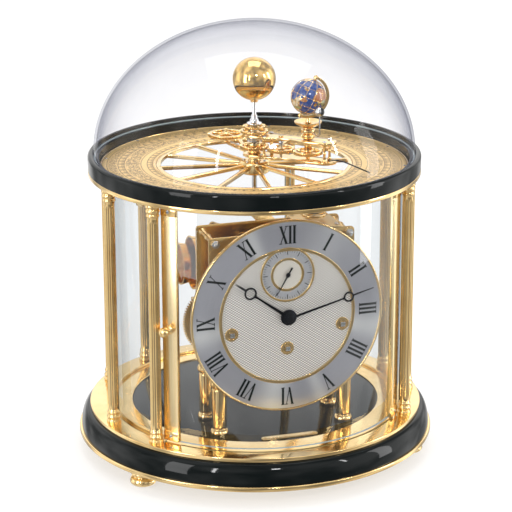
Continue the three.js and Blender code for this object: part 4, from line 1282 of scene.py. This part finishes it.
def make_escapement():
    platform = middle("escapement_platform")
    x, y, low = platform.x, platform.y, SHEET_TOP + 0.1
    here = shift(x, y, 0)
    put("platform_plate", flat([rectangle(0, 0, 30, 38, 2.5)], low, low + 2, 0.3), SATIN_BRASS, "case",
        here, ("escapement_platform",))
    for i, (dx, dy) in enumerate(((12, 16), (-12, 16), (12, -16), (-12, -16)), 1):
        screw(f"platform_screw_{i}", shift(x + dx, y + dy, low + 2), "case", 1.6, 0.9, 50 * i)
    wheel_z = low + 5.4
    turned("balance_rim", section(7.7, 9.3, wheel_z, wheel_z + 1.5), BRASS, "balance", here,
           ("balance_wheel",), soft=(0.2, 2), sides=64)
    put("balance_arms", slab((-8, 8), (-0.8, 0.8), (wheel_z + 0.2, wheel_z + 1.2), 0.15), BRASS, "balance",
        here)
    turned("balance_staff", section(0, 1.2, wheel_z - 0.8, wheel_z + 3), STEEL, "balance", here,
           soft=(0.2, 2), sides=20)
    for i in range(10):
        stud = lathe(soften(section(0, 0.55, 9.2, 10.0), 0.1, 2), 12)
        at = shift(x, y, wheel_z + 0.75) @ turn(18 + 36 * i) @ turn(90, "Y")
        put(f"balance_screw_{i + 1}", stud, BRASS, "balance", at)
    turns, points = 6, 120
    spiral = [((1.6 + 4.6 * k / points) * cos(2 * pi * turns * k / points),
              (1.6 + 4.6 * k / points) * sin(2 * pi * turns * k / points),
              wheel_z + 2.5) for k in range(points + 1)]
    put("hairspring", wire(spiral, 0.09, False, 1), BLUED, "balance", here)
    put("balance_cock", slab((-2.4, 2.4), (-3, 17), (wheel_z + 4.0, wheel_z + 5.4), 0.4), SATIN_BRASS,
        at=here)
    turned("balance_cock_post", section(0, 2.6, low + 2, wheel_z + 4.1), SATIN_BRASS,
           at=shift(x, y + 14, 0), soft=(0.3, 3), sides=24)
    screw("balance_cock_screw", shift(x, y + 14, wheel_z + 5.4), "case", 1.8, 0.9, 15)


BELL_X, BELL_Y, BELL_Z = 0, 2, 146
BELL_RADIUS, BELL_DEPTH, BELL_PITCH, BELL_SHRINK = 29, 26, 9.5, 4.4


def make_bells():
    laid = turn(-90, "Y")
    at = shift(BELL_X, BELL_Y, BELL_Z)
    for i in range(4):
        radius = BELL_RADIUS - BELL_SHRINK * i
        apex = 4 + i * BELL_PITCH
        wall = 1.3
        outer, inner = [], []
        for step in range(15):
            angle = pi / 2 * step / 14
            flare = 1 + 0.03 * max(0.0, step - 10)
            outer.append((max(2.2, radius * 0.9 * sin(angle) * flare),
                         apex + BELL_DEPTH * (1 - cos(angle))))
            inner.insert(0, (max(2.2, (radius - wall) * 0.9 * sin(angle) * flare),
                             apex + wall + (BELL_DEPTH - wall) * (1 - cos(angle))))
        put(f"bell_{i + 1}", moved(lathe(outer + inner, 72, True), laid), BELL_METAL, "case", at,
            ("bell_stack",) if i == 0 else (), 60)
        boss = lathe(soften(section(0, 3.6, apex - 1.6, apex + 0.2), 0.4), 28)
        put(f"bell_boss_{i + 1}", moved(boss, laid), BRASS, at=at)
    rod = lathe(soften(section(0, 2, 0, 42), 0.4), 24)
    put("bell_rod", moved(rod, laid), STEEL, at=at)
    nut = lathe(soften([(0, 40), (3.4, 40), (3.4, 42.4), (1.8, 44), (0, 44.4)], 0.5), 28)
    put("bell_rod_nut", moved(nut, laid), BRASS, at=at)
    put("bell_bracket", wire([(0, BACK_SHEET + 1, BELL_Z), (0, BELL_Y + 1, BELL_Z)], 2.5), STEEL)


def make_hammers():
    """The hammer swings on a rod between two cheeks that stand on the back plate's shelf."""
    pivot, head = 110, 148
    here = shift(-24, 37, pivot)
    put("hammer_arm", slab((-1.2, 1.2), (-1.2, 1.2), (0, head - pivot - 3), 0.3), STEEL, "hammer",
        here, ("chime_hammer",))
    put("hammer_head", slab((-2.5, 2.5), (-4.4, 4.4), (head - pivot - 6, head - pivot), 0.9), BRASS,
        "hammer", here)
    put("hammer_hub", moved(lathe(soften(section(0, 3.1, -5, 5), 0.5), 28), turn(90, "Y")), BRASS, "hammer",
        here)
    for i, ear in enumerate((-10, 10), 1):
        put(f"hammer_cheek_{i}", slab((ear - 1.5, ear + 1.5), (-4, 4), (-5, 4), 0.6), PLATE_BRASS, at=here)
    put("hammer_rod", moved(lathe(section(0, 1.2, -9, 9), 16), turn(90, "Y")), STEEL, at=here)


# ---- dial and hands


def disc_ring(name, inner, outer, low, high, z, material, replaces=(), sides=128, soft=0.25):
    """A ring on the dial between two distances in front of y = 0."""
    turned(name, section(inner, outer, low, high), material, "case", shift(0, 0, z) @ FACING, replaces,
           (soft, 3), sides)


def make_dial():
    face, front = -DIAL_FACE, -DIAL_FRONT
    back = 78.2
    plate = section(0, DIAL_RADIUS - 0.3, back, face)
    at = shift(0, 0, DIAL_Z) @ FACING
    turned("dial_disc", plate, DIAL_GUILLOCHE, "case", at, ("dial_plate",), soft=(0.2, 3), sides=160)
    bezel = [(DIAL_RADIUS - 1.9, face - 0.4), (DIAL_RADIUS, face - 1.4), (DIAL_RADIUS, front - 0.5),
             (DIAL_RADIUS - 0.6, front), (DIAL_RADIUS - 1.2, front), (DIAL_RADIUS - 1.9, face + 0.5)]
    turned("dial_bezel", bezel, BRASS, at=at, soft=(0.3, 3), sides=160)
    disc_ring("chapter_ring_silvered", 51.5, 70.9, face + 0.05, face + 0.7, DIAL_Z, CHAPTER_SILVER,
              ("chapter_ring",), 160, 0.15)
    disc_ring("centre_rim", 49.2, 51.5, face + 0.02, face + 1.0, DIAL_Z, BRASS, (), 128, 0.35)
    disc_ring("seconds_rim", 19.0, 20.5, face + 0.02, face + 1.05, SECONDS_Z, BRASS, (), 96, 0.35)
    disc_ring("seconds_ring", 12.3, 19.0, face + 0.05, face + 0.45, SECONDS_Z, PALE_SILVER, (), 96, 0.1)
    disc_ring("seconds_inner_rim", 10.7, 12.6, face + 0.02, face + 0.7, SECONDS_Z, BRASS, (), 80, 0.25)
    put("seconds_centre", lathe(section(0, 11.3, face, face + 0.25), 80), SECONDS_GUILLOCHE,
        at=shift(0, 0, SECONDS_Z) @ FACING)
    for name, spec in BARRELS.items():
        disc_ring(f"{name}_grommet", 3.3, 5.0, face - 0.4, face + 0.8, spec["z"], BRASS, (), 48, 0.4)
        bpy.data.objects[f"{name}_grommet"].data.transform(shift(spec["x"], 0, 0))
        put(f"{name}_well", lathe(section(0, 3.4, face - 0.2, face + 0.05), 32), WARM_BRASS,
            at=shift(spec["x"], 0, spec["z"]) @ FACING)
    for i, (x, z) in enumerate(((32, 38), (-32, 38), (32, -38), (-32, -38)), 1):
        turned(f"dial_foot_{i}", section(0, 2, -FRONT_SHEET + 1, back), BRASS,
               at=shift(x, 0, DIAL_Z + z) @ FACING, soft=(0.2, 3), sides=20)


def stroke(start, end, start_half, end_half):
    """A straight stroke as an outline."""
    a, b = Vector(start), Vector(end)
    side = Vector((-(b - a).y, (b - a).x)).normalized()
    return [tuple(a - side * start_half), tuple(b - side * end_half), tuple(b + side * end_half),
            tuple(a + side * start_half)]


GLYPH_WIDTH = {"I": 2.9, "V": 6.6, "X": 6.6}


def glyph(letter, x, height):
    """Outlines of a Roman letter standing on y = 0 with its left side at x."""
    thick, thin, serif = 0.85, 0.28, 0.3
    width = GLYPH_WIDTH[letter]
    left, right, centre = x + 1.1, x + width - 1.1, x + width / 2

    def bar(start, end, y):
        return stroke((start, y), (end, y), serif, serif)

    foot, top = serif / 2, height - serif / 2
    if letter == "I":
        return [stroke((centre, 0), (centre, height), thick, thick),
                bar(x + 0.15, x + width - 0.15, foot), bar(x + 0.15, x + width - 0.15, top)]
    if letter == "V":
        strokes = [stroke((left, height), (centre + 0.1, 0), thick, thick * 0.8),
                   stroke((centre, 0), (right + 0.1, height), thin, thin)]
    else:
        strokes = [stroke((left, height), (right, 0), thick, thick),
                   stroke((left + 0.1, 0), (right - 0.1, height), thin, thin),
                   bar(left - 1, left + 1.2, foot), bar(right - 1.3, right + 1.1, foot)]
    return strokes + [bar(left - 1.2, left + 1.2, top), bar(right - 1.1, right + 1.2, top)]


NUMERALS = ("XII", "I", "II", "III", "IIII", "V", "VI", "VII", "VIII", "IX", "X", "XI")


def make_numerals():
    """Roman numerals that stand on the inside of the chapter ring and point outward."""
    height, foot = 13.2, 54.8
    surface = -DIAL_FACE + 0.7
    for hour, text in enumerate(NUMERALS):
        gap = 0.25
        widths = [GLYPH_WIDTH[letter] for letter in text]
        squeeze = min(1.0, 15.5 / (sum(widths) + gap * (len(text) - 1)))
        x = -(sum(widths) + gap * (len(text) - 1)) / 2
        strokes = []
        for letter, width in zip(text, widths):
            for outline in glyph(letter, x, height):
                points = [(px * squeeze, py + foot) for px, py in outline]
                strokes.append(flat([points], surface - 0.02, surface + 0.12, 0.02))
            x += width + gap
        at = shift(0, 0, DIAL_Z) @ turn(30 * hour, "Y") @ FACING
        put(f"numeral_{hour or 12}", joined(*strokes), NUMERAL, at=at)


def make_seconds_marks():
    """A fine engraved scale on the small ring."""
    marks = []
    face = -DIAL_FACE + 0.45
    for second in range(60):
        inner, half = (15.0, 0.28) if second % 5 == 0 else (16.8, 0.13)
        mark = flat([stroke((0, inner), (0, 18.4), half, half)], face - 0.01, face + 0.08, 0.01)
        marks.append(moved(mark, turn(6 * second)))
    put("seconds_marks", joined(*marks), NUMERAL, at=shift(0, 0, SECONDS_Z) @ FACING)


def hand_outline(length, ring_at, ring_radius, boss, width):
    """Half a turn up one side and down the other: boss, blade, ring, blade, tip."""
    lower = ring_at - ring_radius
    side = [(width, boss * 0.8), (width * 0.62, lower - 2.2), (width * 0.8, lower - 0.6)]
    for step in range(15):
        angle = -pi / 2 + 0.25 + (pi - 0.5) * step / 14
        side.append((ring_radius * cos(angle), ring_at + ring_radius * sin(angle)))
    side += [(width * 0.6, ring_at + ring_radius + 0.5), (width * 0.72, ring_at + ring_radius + 2.6),
             (0.2, length)]
    return side + [(-x, y) for x, y in reversed(side)]


def on_dial(z, clockwise, y):
    return shift(0, y, z) @ turn(clockwise, "Y") @ FACING


def make_hands():
    specs = (
        ("minute_hand", 66.2, 46.5, 4.0, 4.6, 0.9, MINUTE_Y, MINUTE_ANGLE, 0.9),
        ("hour_hand", 49.3, 35.5, 4.7, 6.0, 1.15, HOUR_Y, HOUR_ANGLE, 0.9),
    )
    for name, length, ring_at, ring_radius, boss, width, y, angle, thick in specs:
        at = on_dial(DIAL_Z, angle, y)
        outline = hand_outline(length, ring_at, ring_radius, boss, width)
        blade = flat([outline, circle(0, ring_at, ring_radius - 1.35, 28)], 0, thick, 0.22)
        hub = lathe(soften([(1.6, 0), (boss, 0), (boss, thick * 0.8), (boss - 0.8, thick + 0.25), (1.6,
                    thick + 0.25)], 0.25, 3, True), 48, True)
        put(name + "_blade", blade, BLUED, name, at, (name,))
        put(name + "_boss", hub, BLUED, name, at)
    put("hour_pipe", lathe(section(1.75, 2.3, -15.4, 0.2), 32, True), BRASS, "hour_hand",
        on_dial(DIAL_Z, HOUR_ANGLE, HOUR_Y))
    turned("minute_arbor",
           [(0, -20.8), (1.35, -20.8), (1.35, 0.6), (2.6, 0.9), (2.9, 1.5), (2.3, 2.1), (0, 2.2)], BLUED,
           "minute_hand", on_dial(DIAL_Z, MINUTE_ANGLE, MINUTE_Y), soft=(0.25, 2))
    needle = [(-0.75, -6.2), (0.75, -6.2), (0.5, -2), (0.5, 4), (0.2, 17), (-0.2, 17), (-0.5, 4),
              (-0.5, -2)]
    at = on_dial(SECONDS_Z, SECONDS_ANGLE, SECONDS_Y)
    put("seconds_needle", flat([needle], 0.05, 0.6, 0.1), BLUED, "seconds_hand", at, ("seconds_hand",))
    turned("seconds_cap", [(0, -15.8), (0.75, -15.8), (0.75, -0.1), (1.8, 0), (1.8, 0.7), (0, 0.95)], BLUED,
           "seconds_hand", at, soft=(0.2, 2), sides=28)


# ---- the whole clock


def build():
    bpy.context.scene.view_settings.view_transform = "Standard"
    make_camera()
    make_lights()
    make_world()
    make_floor()
    for make in (
        make_feet, make_base, make_name_plate, make_columns, make_panels, make_clips, make_door,
        make_knob, make_deck, make_calendar, make_spokes, make_dome, make_arm, make_counter_wheel,
        make_centre, make_idler, make_earth, make_meridian, make_globe_ball, make_moon_piece,
        make_pointer, make_plates, make_legs, make_barrels, make_train, make_back_work,
        make_escapement, make_bells, make_hammers, make_dial, make_numerals, make_seconds_marks,
        make_hands,
    ):
        make()


build()
